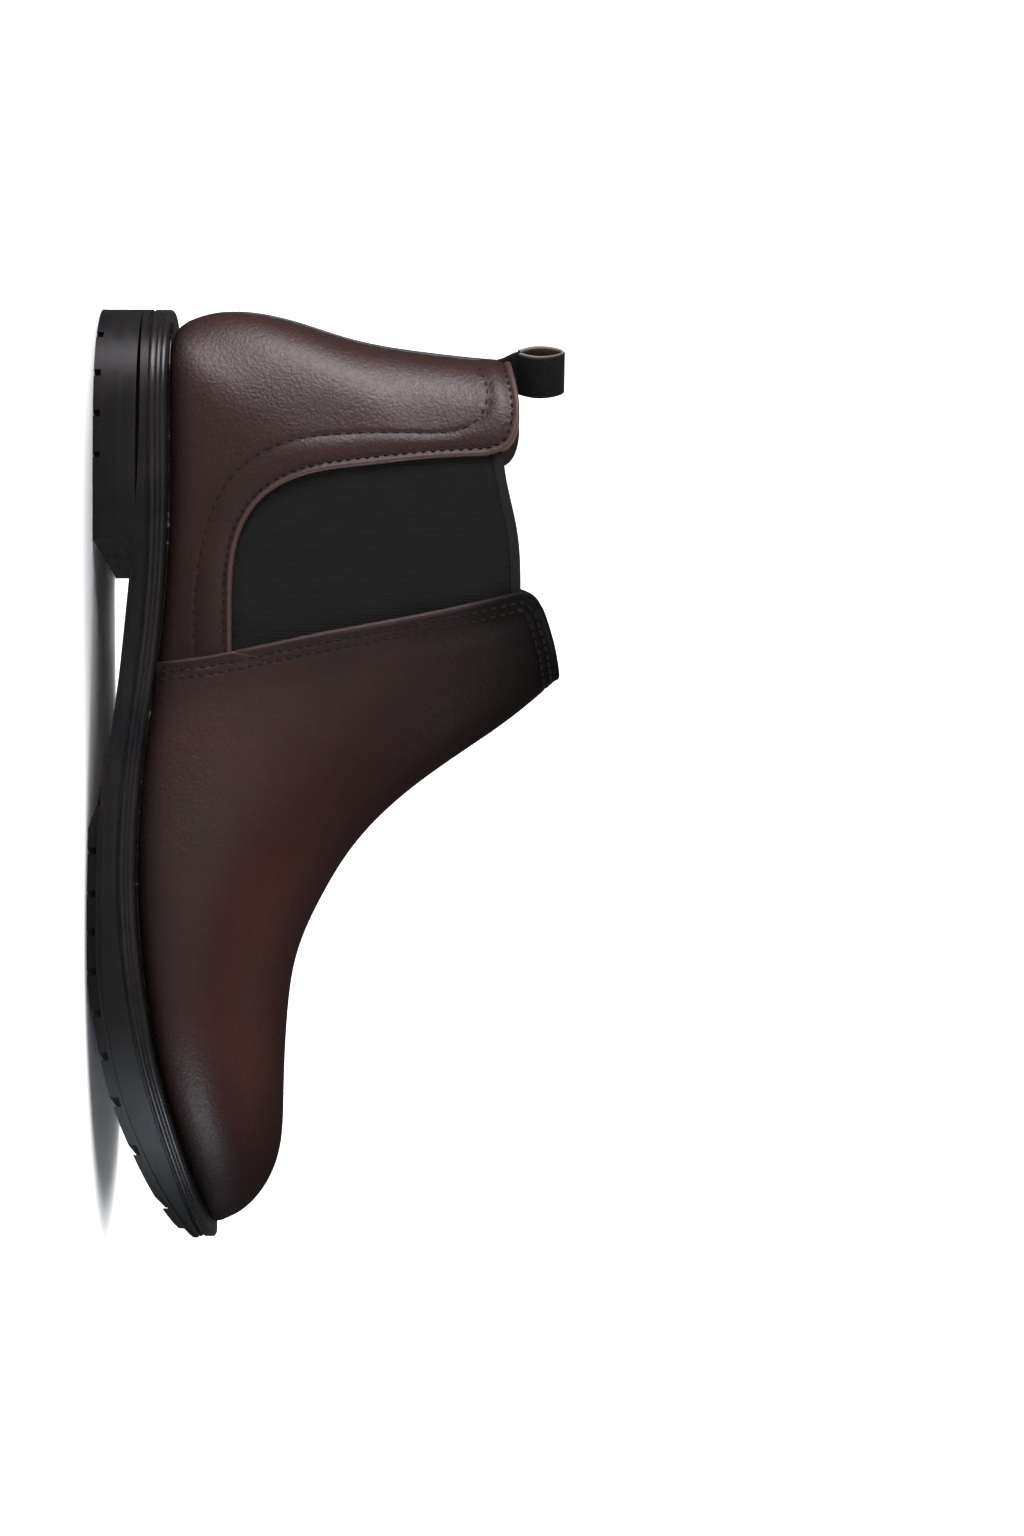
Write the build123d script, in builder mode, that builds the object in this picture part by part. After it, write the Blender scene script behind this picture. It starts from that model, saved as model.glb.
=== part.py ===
from build123d import *
from math import cos, hypot, radians, sin, tan
import os

# Chelsea boot, right foot, sized as about a European 42 to 43. Millimetres.
# X runs from heel to toe, Z is up, -Y is the outer (lateral) side, and the heel rests on Z = 0.

# ---------------------------------------------------------------- driving dimensions
boot_length = 300.0
leather = 1.5            # outer leather
stiffener = 1.0          # elastic, heel counter, toe puff and collar foam share one layer
lining = 1.0
glue_gap = 0.1           # left between neighbouring layers
bedding = 0.4            # left between the insole board and what lies under it
sole_clearance = 0.3     # upper to welt
last_margin = 20.4       # sole edge to the inner edge of the turned-in upper
welt_width = 12.0
groove_depth = 0.8       # groove between sidewall and welt
sidewall_inset = 0.5     # sidewall stands this far inside the lip round its lower edge
lip_height = 1.1
board = 2.2              # insole board
sock = 2.7               # sock liner
heel_pad_height = 1.5
lug_inset = 2.4
lug_gap = 2.2
waist_thickness_z = 12.5 # underside of the waist where it meets the heel
heel_floor_z = 5.0       # bottom of the moulded pocket in the heel
shank_width = 14.0
shank_height = 1.6
rivet_radius = 1.5
rivet_head_radius = 3.0
rivet_head = 0.6
loop_width = 20.0        # webbing
loop_band = 1.2
loop_rise = 15.2
loop_gap = 3.2           # widest space inside the loop
loop_twist = 35.0        # degrees the loop is turned from square
loop_root = (-130.0, 0, 132.8)
toe_puff_start = 103.0
heel_pad_inset = 15.0
heel_pad_end = -86.0
shank_ends = (-118.0, -8.0)
rivet_places = (-106.0, -21.0)
pocket_end = -84.0       # front of the moulded pocket in the heel
groove_height = 0.8
groove_slant = 22.0
heel_groove_depth = 2.2
forepart_grooves = (-12, 4, 20, 34, 46, 58, 70, 82, 94, 106, 118)
heel_grooves = (-144, -128, -114, -101)
tape_height = 2.3
piping_proud = 0.6
seam_half = 1.1          # each quarter stops this far from the centre of the back
bend_point = (-47.0, 42.0)   # side-view place of the fold that the front panel bends about
bend_low = 42.0          # degrees, lower and upper side of the wedge of leather that creases
bend_high = 56.0
reach = 90.0             # half-width of the cutting prisms
behind = -200.0          # cutting blocks run from well behind the heel to well ahead of the toe
ahead = 200.0
sole_top = 60.0          # cutting blocks for the sole end above it
room = 0.2               # left round pieces let into another
shank_room_all_round = 0.15
turned_edge = 0.8        # fillers stop this far inside the turned-in upper
piping_front = -120.0
piping_heights = (27.0, 130.2)
tail_front = -115.0      # ends of the loop, sewn in between the back of the quarters and their lining
tail_heights = (114.0, 129.4)
foam_front = -35.0
foam_low = 37.0
core_overlap = 1.0       # the narrower core in the groove runs this far into the sidewall
groove_floor = 0.05      # and stops this far under the welt
lip_start = -68.0
heel_overlap = 0.8       # heel and waist run into each other by this height
breast_lateral = (-78.7, -70.0)  # front face of the heel, seen from above, slants forward on the medial side
breast_medial = (-60.3, 70.0)
block_half_width = 70.0
lug_half_length = 55.0
heel_lug_half_length = 35.0

# ---------------------------------------------------------------- the last
# One section for each row: ridge point (x, z), sole point (x, z), y of the widest line on the
# lateral and the medial side, y of the ridge, where the widest line lies (0 ridge, 1 sole),
# fullness of the ridge, and the flat share of the sole end.
sections = [
    (143.8, 37.6, 143.9, 33.4, 6.0, 15.0, 10.5, 0.60, 0.60, 0.50),
    (142.4, 40.6, 142.8, 33.1, 1.5, 19.5, 10.5, 0.65, 0.60, 0.60),
    (139.4, 45.2, 140.2, 32.4, -4.5, 25.5, 10.5, 0.70, 0.60, 0.70),
    (132.0, 51.3, 133.0, 30.5, -13.0, 33.8, 10.0, 0.74, 0.58, 0.80),
    (119.0, 55.9, 120.5, 27.2, -24.5, 42.0, 9.0, 0.76, 0.57, 0.85),
    (100.0, 57.0, 102.0, 22.9, -36.0, 46.3, 7.0, 0.78, 0.57, 0.88),
    (78.0, 58.2, 80.0, 18.9, -43.8, 48.6, 5.0, 0.79, 0.57, 0.90),
    (57.0, 61.6, 56.0, 15.8, -47.0, 48.0, 3.5, 0.80, 0.57, 0.90),
    (38.0, 70.0, 31.0, 14.5, -46.5, 46.0, 2.0, 0.80, 0.57, 0.90),
    (22.0, 80.2, 5.0, 15.2, -42.0, 39.0, 1.0, 0.80, 0.58, 0.90),
    (8.0, 93.7, -25.0, 18.4, -36.5, 32.5, 0.5, 0.78, 0.60, 0.88),
    (-4.0, 109.4, -60.0, 22.0, -33.0, 30.5, 0.0, 0.72, 0.62, 0.84),
    (-14.5, 124.8, -100.0, 22.8, -33.0, 31.5, 0.0, 0.66, 0.64, 0.78),
    (-22.5, 135.4, -131.0, 22.9, -33.0, 32.0, 0.0, 0.58, 0.65, 0.66),
    (-29.0, 143.0, -144.6, 26.5, -33.0, 32.0, 0.0, 0.52, 0.65, 0.30),
    (-35.0, 150.0, -148.2, 42.0, -32.0, 31.5, 0.0, 0.48, 0.65, 0.22),
    (-41.0, 158.0, -144.5, 62.0, -31.5, 31.0, 0.0, 0.46, 0.65, 0.20),
    (-46.0, 167.0, -138.3, 82.0, -31.5, 31.0, 0.0, 0.45, 0.65, 0.20),
    (-50.0, 178.0, -134.2, 107.0, -32.5, 32.0, 0.0, 0.45, 0.65, 0.20),
    (-52.0, 190.0, -132.0, 130.0, -33.5, 33.0, 0.0, 0.45, 0.64, 0.20),
    (-53.0, 205.0, -131.0, 155.0, -34.5, 34.0, 0.0, 0.45, 0.64, 0.20),
]
round_handle = 0.5523    # handle length that makes a quarter of an ellipse

# Side-view curves, (x, z).
feather = [(-156, 22.8), (-115, 22.8), (-74, 22.6), (-35.5, 19.5), (-10, 16.4), (25.7, 14.4), (53.5, 15.6),
           (72, 17.7), (88.6, 20.1), (102, 22.9), (119, 26.9), (136, 31.2), (156, 36.6)]
underside = [(-156, 12.7), (-74, 12.5), (-48.6, 10.2), (-20.5, 7.4), (0, 4.6), (18, 3.1), (40, 3), (60, 3.2),
             (77, 4.8), (97.4, 8.1), (117.5, 13.9), (133.6, 20), (149.6, 27.8), (156, 31)]
seam = [(-35.0, 10), (-37.3, 32.8), (-43.9, 65.1), (-52.3, 108.2), (-58.3, 133.9)]
seam_foot = [(-35.3, 10), (-37.6, 32.8), (-39.9, 43.5)]
front_top = [(-58.3, 133.9), (-56.1, 138.3), (-47.9, 142.7), (-39.7, 145.0), (-29.0, 146.6)]
gore_side = [(-39.9, 43.5), (-58.2, 43.3), (-75.4, 45.7), (-86.4, 52.3), (-93.2, 63), (-97, 81.3),
             (-100.0, 110), (-100.6, 123)]
topline = [(-100.6, 123), (-103.6, 129.8), (-110.2, 132.9), (-122.4, 132.6), (-131.7, 130.4), (-150, 128)]
gore_top = [(-110, 126.8), (-90.5, 129.7), (-75.5, 132.9), (-62, 133.9), (-50, 134.0)]
gore_hidden = [(-33.5, 37.4), (-58.2, 37.3), (-77.5, 39.8), (-91, 47.7), (-99, 61), (-103, 81),
               (-106, 110), (-110, 126.8)]
counter_edge = [(-170, 0), (-170, 62), (-120, 62), (-88, 32), (-70, 0), (-170, 0)]
band_stitch = [(-150, 112), (-130.3, 120.2), (-121.5, 123.1), (-113.8, 121.5), (-109.7, 116.7),
               (-107.8, 102.7), (-107.4, 75.8), (-103.4, 56.5), (-94.3, 43.6), (-76.5, 34.9),
               (-58.3, 31.7), (-35, 31.6)]

# Forepart tread seen from the side: its rear end, the walking line up to the toe, and its top.
tread_rear = [(3, 5.2), (3, 3.6), (6, 3.2), (16, 0), (58, 0)]
tread_toe = [(58, 0), (77, 1.8), (97.4, 5.1), (117.5, 10.9), (133.6, 17), (152, 25.8)]
tread_top = [(152, 31), (133.6, 21), (117.5, 14.9), (97.4, 9.2), (77, 5.8), (60, 4.2), (40, 4), (18, 4.2)]

# Sole edge seen from above, (x, y), anticlockwise from the middle of the heel.
sole_edge = [(-150.5, -0.3), (-145.5, -17), (-132, -29.5), (-108, -35), (-80, -35.5), (-50, -36.5),
             (-20, -41), (10, -47.8), (40, -52.9), (64, -52.3), (90, -44.9), (112, -33.5), (132, -18.5),
             (145, -3.5),
             (150, 10.5), (147, 24), (137.5, 37), (121, 47), (98, 52), (74, 53.3), (50, 51.5), (25, 46),
             (0, 38.8), (-25, 34.2), (-50, 32.4), (-80, 33.2), (-108, 33.5), (-132, 28.8), (-145.5, 16.5)]


def welt_height(x):
    """The welt is 6 mm high at the heel and thins towards the toe."""
    return 4.8 - 1.2 * x / (boot_length / 2)


def outward(points, i):
    """Unit normal of a line of side-view points at one of them, to the left of its direction."""
    before = points[max(i - 1, 0)]
    after = points[min(i + 1, len(points) - 1)]
    dx = after[0] - before[0]
    dz = after[1] - before[1]
    length = hypot(dx, dz)
    return (-dz / length, dx / length)


def last_form(depth):
    """The solid inside the upper's surface moved inwards by depth."""
    ridge = [(row[0], row[1]) for row in sections]
    base = [(row[2], row[3] + sole_clearance) for row in sections]
    first = 0 if depth < 1 else 1 if depth < 3 else 2
    with BuildPart() as form:
        for i, row in enumerate(sections):
            if i < first:
                continue
            y_lateral, y_medial, y_ridge, widest, fullness, flat = row[4:]
            ridge_normal = outward(ridge, i)
            base_normal = outward(base, i)
            a = Vector(row[0] + depth * ridge_normal[0], 0, row[1] + depth * ridge_normal[1])
            b = Vector(base[i][0] - depth * base_normal[0], 0, base[i][1] - depth * base_normal[1])
            along = (b - a).normalized()
            length = (b - a).length
            plane = Plane(origin=a, x_dir=along, z_dir=along.cross(Vector(0, 1, 0)))
            wide = widest * length
            left = y_lateral + depth
            right = y_medial - depth
            middle = (left + right) / 2
            left_flat = middle + flat * (left - middle)
            right_flat = middle + flat * (right - middle)
            with BuildSketch(plane):
                with BuildLine():
                    Bezier((0, y_ridge), (0, y_ridge + fullness * (left - y_ridge)),
                           (wide * (1 - fullness), left), (wide, left))
                    Bezier((wide, left), (wide + round_handle * (length - wide), left),
                           (length, left_flat + round_handle * (left - left_flat)), (length, left_flat))
                    Line((length, left_flat), (length, right_flat))
                    Bezier((length, right_flat), (length, right_flat + round_handle * (right - right_flat)),
                           (wide + round_handle * (length - wide), right), (wide, right))
                    Bezier((wide, right), (wide * (1 - fullness), right),
                           (0, y_ridge + fullness * (right - y_ridge)), (0, y_ridge))
                make_face()
        loft()
    return form.part


def rise(points, height):
    """Side-view points moved up."""
    return [(x, z + height) for x, z in points]


def welt_foot(height=0.0):
    """Side-view points of the welt's underside, moved up."""
    return [(x, z - welt_height(x) + height) for x, z in feather]


def side_band(low, high):
    """Block across the boot between two side-view curves."""
    with BuildPart() as band:
        with BuildSketch(Plane.XZ):
            with BuildLine():
                lower = Spline(*low)
                upper = Spline(*high)
                Line(lower @ 0, upper @ 0)
                Line(lower @ 1, upper @ 1)
            make_face()
        extrude(amount=reach, both=True)
    return band.part


def under(high):
    """Block across the boot below a side-view curve."""
    with BuildPart() as block:
        with BuildSketch(Plane.XZ):
            with BuildLine():
                upper = Spline(*high)
                Polyline(upper @ 0, ((upper @ 0).X, -20), ((upper @ 1).X, -20), upper @ 1)
            make_face()
        extrude(amount=reach, both=True)
    return block.part


def inset_edge(inset):
    """Points of the sole edge moved inwards, less those that a tight bend would crowd together."""
    moved = []
    count = len(sole_edge)
    for i, (x, y) in enumerate(sole_edge):
        dx = sole_edge[(i + 1) % count][0] - sole_edge[i - 1][0]
        dy = sole_edge[(i + 1) % count][1] - sole_edge[i - 1][1]
        length = hypot(dx, dy)
        point = (x - inset * dy / length, y + inset * dx / length)
        nearest = min(hypot(point[0] - edge[0], point[1] - edge[1]) for edge in sole_edge)
        if nearest > 0.96 * inset - 0.01:
            moved.append(point)
    return moved


def sole_block(inset, bottom=-5.0, top=45.0):
    """Upright block whose plan is the sole edge moved inwards by inset."""
    with BuildPart() as block:
        with BuildSketch(Plane.XY.offset(bottom)):
            with BuildLine():
                Spline(*inset_edge(inset), periodic=True)
            make_face()
        extrude(amount=top - bottom)
    return block.part


def profile_block(*curves):
    """Block across the boot inside a closed side-view outline: each curve is (points, smooth)."""
    with BuildPart() as block:
        with BuildSketch(Plane.XZ):
            with BuildLine():
                for points, smooth in curves:
                    if smooth:
                        Spline(*points)
                    else:
                        Polyline(*points)
            make_face()
        extrude(amount=reach, both=True)
    return block.part


def slab(y_low, y_high):
    """Block that holds everything between two planes across Y."""
    return Pos(0, (y_low + y_high) / 2, 80) * Box(400, y_high - y_low, 400, mode=Mode.PRIVATE)


def ray(angle, distance):
    """Side-view point at an angle and distance from the bend point."""
    return (bend_point[0] + distance * cos(radians(angle)), bend_point[1] + distance * sin(radians(angle)))


def sector(low_angle, high_angle):
    """Block across the boot between two lines through the bend point."""
    middle = (low_angle + high_angle) / 2
    corners = [bend_point, ray(low_angle, 220), ray(middle, 500), ray(high_angle, 220), bend_point]
    return profile_block((corners, False))


def finish(part, name):
    """Label a sub-part and write it."""
    part.part.label = name
    export_step(part.part, f"parts/{name}.step")


os.makedirs("parts", exist_ok=True)

# ---------------------------------------------------------------- shared blocks
skin_depths = [0.0, leather]
core_depths = [leather + glue_gap, leather + glue_gap + stiffener]
lining_depths = [core_depths[1] + glue_gap, core_depths[1] + glue_gap + lining]
foot_depth = lining_depths[1] + glue_gap

turned_in_edge = sole_block(last_margin) & under(rise(feather, 7.0))


def layer(depths):
    """One layer of the upper, lasted under the foot and open in the middle of the sole."""
    with BuildPart() as shell:
        add(last_form(depths[0]))
        add(last_form(depths[1]), mode=Mode.SUBTRACT)
        add(turned_in_edge, mode=Mode.SUBTRACT)
    return shell.part


leather_layer = layer(skin_depths)
core_layer = layer(core_depths)
lining_layer = layer(lining_depths)

# The straight parts of these outlines lie outside the boot.
front_area = profile_block(
    (seam, True),
    (front_top, True),
    ([front_top[-1], (170, 160), (170, 0), (-35, 0), seam[0]], False),
)
quarter_area = profile_block(
    (seam_foot, True),
    (gore_side, True),
    (topline, True),
    ([topline[-1], (-170, 128), (-170, 0), (-35.3, 0), seam_foot[0]], False),
)
gore_area = profile_block(
    (gore_top, True),
    ([gore_top[-1], gore_hidden[0]], False),
    (gore_hidden, True),
)
tape_area = side_band(rise(gore_top, -tape_height), gore_top)
inside_band = profile_block(
    (band_stitch, True),
    ([band_stitch[-1], (-35, 0), (-170, 0), (-170, 112), band_stitch[0]], False),
)
fold_low = sector(bend_low, 200)
fold_wedge = sector(bend_low + 0.1, bend_high - 0.1)
fold_high = sector(bend_high, 200)
sides = (("lateral", slab(-reach, -seam_half)), ("medial", slab(seam_half, reach)))


def panel(sheet, area):
    """Part of one layer inside a side-view area."""
    with BuildPart() as piece:
        add(sheet)
        add(area, mode=Mode.INTERSECT)
    return piece.part


def box_between(x_low, x_high, z_low, z_high):
    """Block across the boot between two x and two z values."""
    block = Box(x_high - x_low, 2 * reach, z_high - z_low, mode=Mode.PRIVATE)
    return Pos((x_low + x_high) / 2, 0, (z_low + z_high) / 2) * block


# ---------------------------------------------------------------- upper: leather
front_leather = panel(leather_layer, front_area)
quarter_leather = panel(leather_layer, quarter_area)

with BuildPart() as vamp:
    add(front_leather)
    add(fold_low, mode=Mode.SUBTRACT)
finish(vamp, "vamp")

with BuildPart() as vamp_crease:
    add(front_leather)
    add(fold_wedge, mode=Mode.INTERSECT)
finish(vamp_crease, "vamp_crease")

with BuildPart() as shaft_front:
    add(front_leather)
    add(fold_high, mode=Mode.INTERSECT)
finish(shaft_front, "shaft_front")

for side_name, side in sides:
    with BuildPart() as quarter:
        add(quarter_leather)
        add(side, mode=Mode.INTERSECT)
    finish(quarter, f"quarter_{side_name}")

with BuildPart() as back_piping:
    add(last_form(-piping_proud))
    add(last_form(leather), mode=Mode.SUBTRACT)
    add(box_between(behind, piping_front, *piping_heights), mode=Mode.INTERSECT)
    add(slab(-seam_half + glue_gap, seam_half - glue_gap), mode=Mode.INTERSECT)
finish(back_piping, "back_piping")

# ---------------------------------------------------------------- upper: the layer between
with BuildPart() as toe_puff:
    add(core_layer)
    add(box_between(toe_puff_start, ahead, 0, ahead), mode=Mode.INTERSECT)
finish(toe_puff, "toe_puff")

with BuildPart() as heel_counter:
    add(core_layer)
    add(profile_block((counter_edge, False)), mode=Mode.INTERSECT)
finish(heel_counter, "heel_counter")

tail_block = box_between(behind, tail_front, *tail_heights) & slab(-loop_width / 2, loop_width / 2)
tail_room = (box_between(behind, tail_front, tail_heights[0] - room, tail_heights[1] + room)
             & slab(-loop_width / 2 - room, loop_width / 2 + room))
with BuildPart() as pull_loop_tail:
    add(core_layer)
    add(tail_block, mode=Mode.INTERSECT)
finish(pull_loop_tail, "pull_loop_tail")

gore_sheet = panel(core_layer, gore_area)
foam_sheet = panel(core_layer, quarter_area)
for side_name, side in sides:
    with BuildPart() as gore:
        add(gore_sheet)
        add(tape_area, mode=Mode.SUBTRACT)
        add(side, mode=Mode.INTERSECT)
    finish(gore, f"gore_{side_name}")
    with BuildPart() as gore_tape:
        add(gore_sheet)
        add(tape_area, mode=Mode.INTERSECT)
        add(side, mode=Mode.INTERSECT)
    finish(gore_tape, f"gore_tape_{side_name}")
    with BuildPart() as collar_foam:
        add(foam_sheet)
        add(inside_band, mode=Mode.SUBTRACT)
        add(gore_area, mode=Mode.SUBTRACT)
        add(box_between(behind, foam_front, foam_low, ahead), mode=Mode.INTERSECT)
        add(side, mode=Mode.INTERSECT)
        add(tail_room, mode=Mode.SUBTRACT)
    finish(collar_foam, f"collar_foam_{side_name}")

# ---------------------------------------------------------------- upper: lining
front_lining_sheet = panel(lining_layer, front_area)

with BuildPart() as vamp_lining:
    add(front_lining_sheet)
    add(fold_low, mode=Mode.SUBTRACT)
finish(vamp_lining, "vamp_lining")

with BuildPart() as crease_lining:
    add(front_lining_sheet)
    add(fold_wedge, mode=Mode.INTERSECT)
finish(crease_lining, "crease_lining")

with BuildPart() as front_lining:
    add(front_lining_sheet)
    add(fold_high, mode=Mode.INTERSECT)
finish(front_lining, "front_lining")

with BuildPart() as quarter_lining:
    add(lining_layer)
    add(quarter_area, mode=Mode.INTERSECT)
finish(quarter_lining, "quarter_lining")

# ---------------------------------------------------------------- pull loop
twist = radians(loop_twist)
loop_plane = Plane(origin=loop_root, x_dir=(cos(twist), -sin(twist), 0), z_dir=(-sin(twist), -cos(twist), 0))
loop_out = loop_gap / 2 + loop_band
loop_mid = 0.55 * loop_rise
with BuildPart() as pull_loop:
    with BuildSketch(loop_plane):
        with BuildLine():
            outer = Spline((-loop_band, 0), (-loop_out, loop_mid), (0, loop_rise), (loop_out, loop_mid),
                           (loop_band, 0))
            ThreePointArc(outer @ 1, (0, -loop_band), outer @ 0)
        make_face()
        with BuildLine():
            Spline((0, loop_band), (-loop_gap / 2, loop_mid), (0, loop_rise - loop_band))
            Spline((0, loop_rise - loop_band), (loop_gap / 2, loop_mid), (0, loop_band))
        make_face(mode=Mode.SUBTRACT)
    extrude(amount=loop_width / 2, both=True)
finish(pull_loop, "pull_loop")

# ---------------------------------------------------------------- inside the shoe
foot_form = last_form(foot_depth)
board_low = sole_clearance + foot_depth
board_high = board_low + board
sock_low = board_high + glue_gap
sock_high = sock_low + sock


def rivet(x, extra):
    """Rivet square to the board, larger all over by extra."""
    ahead = [point for point in feather if point[0] > x][0]
    behind = [point for point in feather if point[0] <= x][-1]
    slope = (ahead[1] - behind[1]) / (ahead[0] - behind[0])
    height = behind[1] + slope * (x - behind[0])
    low = board_low - bedding - shank_height
    plane = Plane(origin=(x, 0, height + low), x_dir=(1, 0, slope), z_dir=(-slope, 0, 1))
    with BuildPart() as piece:
        with BuildSketch(plane.offset(-rivet_head)):
            Circle(rivet_radius + extra)
        extrude(amount=board_high - low + rivet_head - glue_gap)
        with BuildSketch(plane.offset(-rivet_head - glue_gap - extra)):
            Circle(rivet_head_radius + extra)
        extrude(amount=rivet_head + 2 * extra)
        with BuildSketch(plane.offset(board_high - low - rivet_head - glue_gap - extra)):
            Circle(rivet_head_radius + extra)
        extrude(amount=rivet_head + 2 * extra)
    return piece.part


def shank_block(extra):
    """Shank under the board, larger all over by extra."""
    with BuildPart() as piece:
        with BuildSketch(Plane.XY):
            with Locations(((shank_ends[0] + shank_ends[1]) / 2, 0)):
                SlotOverall(shank_ends[1] - shank_ends[0] + 2 * extra, shank_width + 2 * extra)
        extrude(amount=40)
        add(side_band(rise(feather, board_low - bedding - shank_height - extra),
                      rise(feather, board_low - bedding + extra)), mode=Mode.INTERSECT)
    return piece.part


with BuildPart() as shank_rivets:
    for x in rivet_places:
        add(rivet(x, 0))
finish(shank_rivets, "shank_rivets")

rivet_room = [rivet(x, 0.1) for x in rivet_places]

with BuildPart() as shank:
    add(shank_block(0))
    add(rivet_room, mode=Mode.SUBTRACT)
finish(shank, "shank")

with BuildPart() as insole_board:
    add(foot_form)
    add(under(rise(feather, board_high)), mode=Mode.INTERSECT)
    add(rivet_room, mode=Mode.SUBTRACT)
finish(insole_board, "insole_board")

pad_area = box_between(behind, heel_pad_end, 0, sole_top)
with BuildPart() as heel_pad:
    add(sole_block(heel_pad_inset))
    add(pad_area, mode=Mode.INTERSECT)
    add(side_band(rise(feather, sock_low), rise(feather, sock_low + heel_pad_height)), mode=Mode.INTERSECT)
finish(heel_pad, "heel_pad")

with BuildPart() as sock_liner:
    add(foot_form)
    add(side_band(rise(feather, sock_low), rise(feather, sock_high)), mode=Mode.INTERSECT)
    add(sole_block(heel_pad_inset - room) & box_between(behind, heel_pad_end + room, 0, sole_top)
        & under(rise(feather, sock_low + heel_pad_height + glue_gap)), mode=Mode.SUBTRACT)
finish(sock_liner, "sock_liner")

# ---------------------------------------------------------------- sole
with BuildPart() as tread:
    add(sole_block(sidewall_inset + lug_inset, -1, 36))
    with BuildSketch(Plane.XZ):
        with BuildLine():
            Polyline(*tread_rear)
            Spline(*tread_toe, tangents=[(1, 0), (1, 0.5)])
            Polyline(tread_toe[-1], *tread_top, tread_rear[0])
        make_face()
    extrude(amount=reach, both=True, mode=Mode.INTERSECT)
    with BuildSketch(Plane.XY.offset(-1)):
        for x in forepart_grooves:
            with BuildLine():
                Polyline((x, -lug_half_length), (x + lug_half_length * tan(radians(groove_slant)), 0),
                         (x, lug_half_length))
            trace(line_width=lug_gap)
    extrude(amount=37, mode=Mode.SUBTRACT)

with BuildPart() as heel_block:
    with BuildSketch(Plane.XY):
        with BuildLine():
            Spline(*inset_edge(sidewall_inset), periodic=True)
        make_face()
        with BuildLine():
            Polyline((behind, -block_half_width), breast_lateral, breast_medial, (behind, block_half_width),
                     (behind, -block_half_width))
        make_face(mode=Mode.INTERSECT)
    extrude(amount=waist_thickness_z + heel_overlap)
    with BuildSketch(Plane.XY):
        for x in heel_grooves:
            with BuildLine():
                lean = heel_lug_half_length * tan(radians(groove_slant))
                Polyline((x, -heel_lug_half_length), (x + lean, 0), (x, heel_lug_half_length))
            trace(line_width=lug_gap)
    extrude(amount=heel_groove_depth, mode=Mode.SUBTRACT)

with BuildPart() as outsole:
    add(sole_block(sidewall_inset) & side_band(underside, welt_foot(-groove_height)))
    add(sole_block(sidewall_inset + groove_depth) & side_band(welt_foot(-groove_height - core_overlap),
                                                              welt_foot(-groove_floor)))
    add(sole_block(0) & side_band(underside, rise(underside, lip_height))
        & box_between(lip_start, ahead, 0, sole_top))
    add(heel_block.part)
    add(tread.part)
    add(sole_block(welt_width, heel_floor_z, 40) & box_between(behind, pocket_end, 0, sole_top),
        mode=Mode.SUBTRACT)
finish(outsole, "outsole")

with BuildPart() as welt:
    add(sole_block(sidewall_inset))
    add(sole_block(welt_width), mode=Mode.SUBTRACT)
    add(side_band(welt_foot(), feather), mode=Mode.INTERSECT)
finish(welt, "welt")

filler_low = sole_block(welt_width + room) & side_band(welt_foot(glue_gap), feather)
filler_high = (sole_block(last_margin + turned_edge)
               & side_band(rise(feather, -1), rise(feather, board_low - bedding)))
shank_room = shank_block(shank_room_all_round)

with BuildPart() as heel_filler:
    add((sole_block(welt_width + room, heel_floor_z + glue_gap, 40) & under(feather))
        & box_between(behind, pocket_end - room, 0, sole_top))
    add(filler_high & box_between(behind, pocket_end - room, 0, sole_top))
    add(shank_room, mode=Mode.SUBTRACT)
    add(rivet_room, mode=Mode.SUBTRACT)
finish(heel_filler, "heel_filler")

with BuildPart() as forepart_filler:
    add(filler_low & box_between(pocket_end, ahead, 0, sole_top))
    add(filler_high & box_between(pocket_end, ahead, 0, sole_top))
    add(shank_room, mode=Mode.SUBTRACT)
    add(rivet_room, mode=Mode.SUBTRACT)
finish(forepart_filler, "forepart_filler")
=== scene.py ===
import bmesh
import bpy
import numpy as np
from mathutils import Matrix, Vector


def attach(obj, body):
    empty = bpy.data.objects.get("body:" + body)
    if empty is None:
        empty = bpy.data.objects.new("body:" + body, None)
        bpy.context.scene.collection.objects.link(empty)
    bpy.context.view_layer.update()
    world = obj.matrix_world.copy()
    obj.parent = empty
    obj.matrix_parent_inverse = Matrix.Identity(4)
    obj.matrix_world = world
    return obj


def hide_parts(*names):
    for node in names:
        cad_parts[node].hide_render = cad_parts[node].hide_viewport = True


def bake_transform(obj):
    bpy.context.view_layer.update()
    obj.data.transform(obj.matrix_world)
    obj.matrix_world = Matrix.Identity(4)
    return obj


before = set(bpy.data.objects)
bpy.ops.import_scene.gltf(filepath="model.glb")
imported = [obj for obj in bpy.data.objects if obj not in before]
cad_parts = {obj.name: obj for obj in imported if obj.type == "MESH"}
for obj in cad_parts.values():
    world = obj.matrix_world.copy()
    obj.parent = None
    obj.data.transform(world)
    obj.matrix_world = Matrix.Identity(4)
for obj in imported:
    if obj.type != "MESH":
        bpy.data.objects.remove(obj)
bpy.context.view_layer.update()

# Chelsea boot, worked in millimetres and turned into metres where a mesh is made.
# X runs from heel to toe, Z is up, -Y is the lateral side.
MM = 0.001
LATERAL, MEDIAL = -1.0, 1.0
SIDES = (("lateral", LATERAL), ("medial", MEDIAL))

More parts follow.
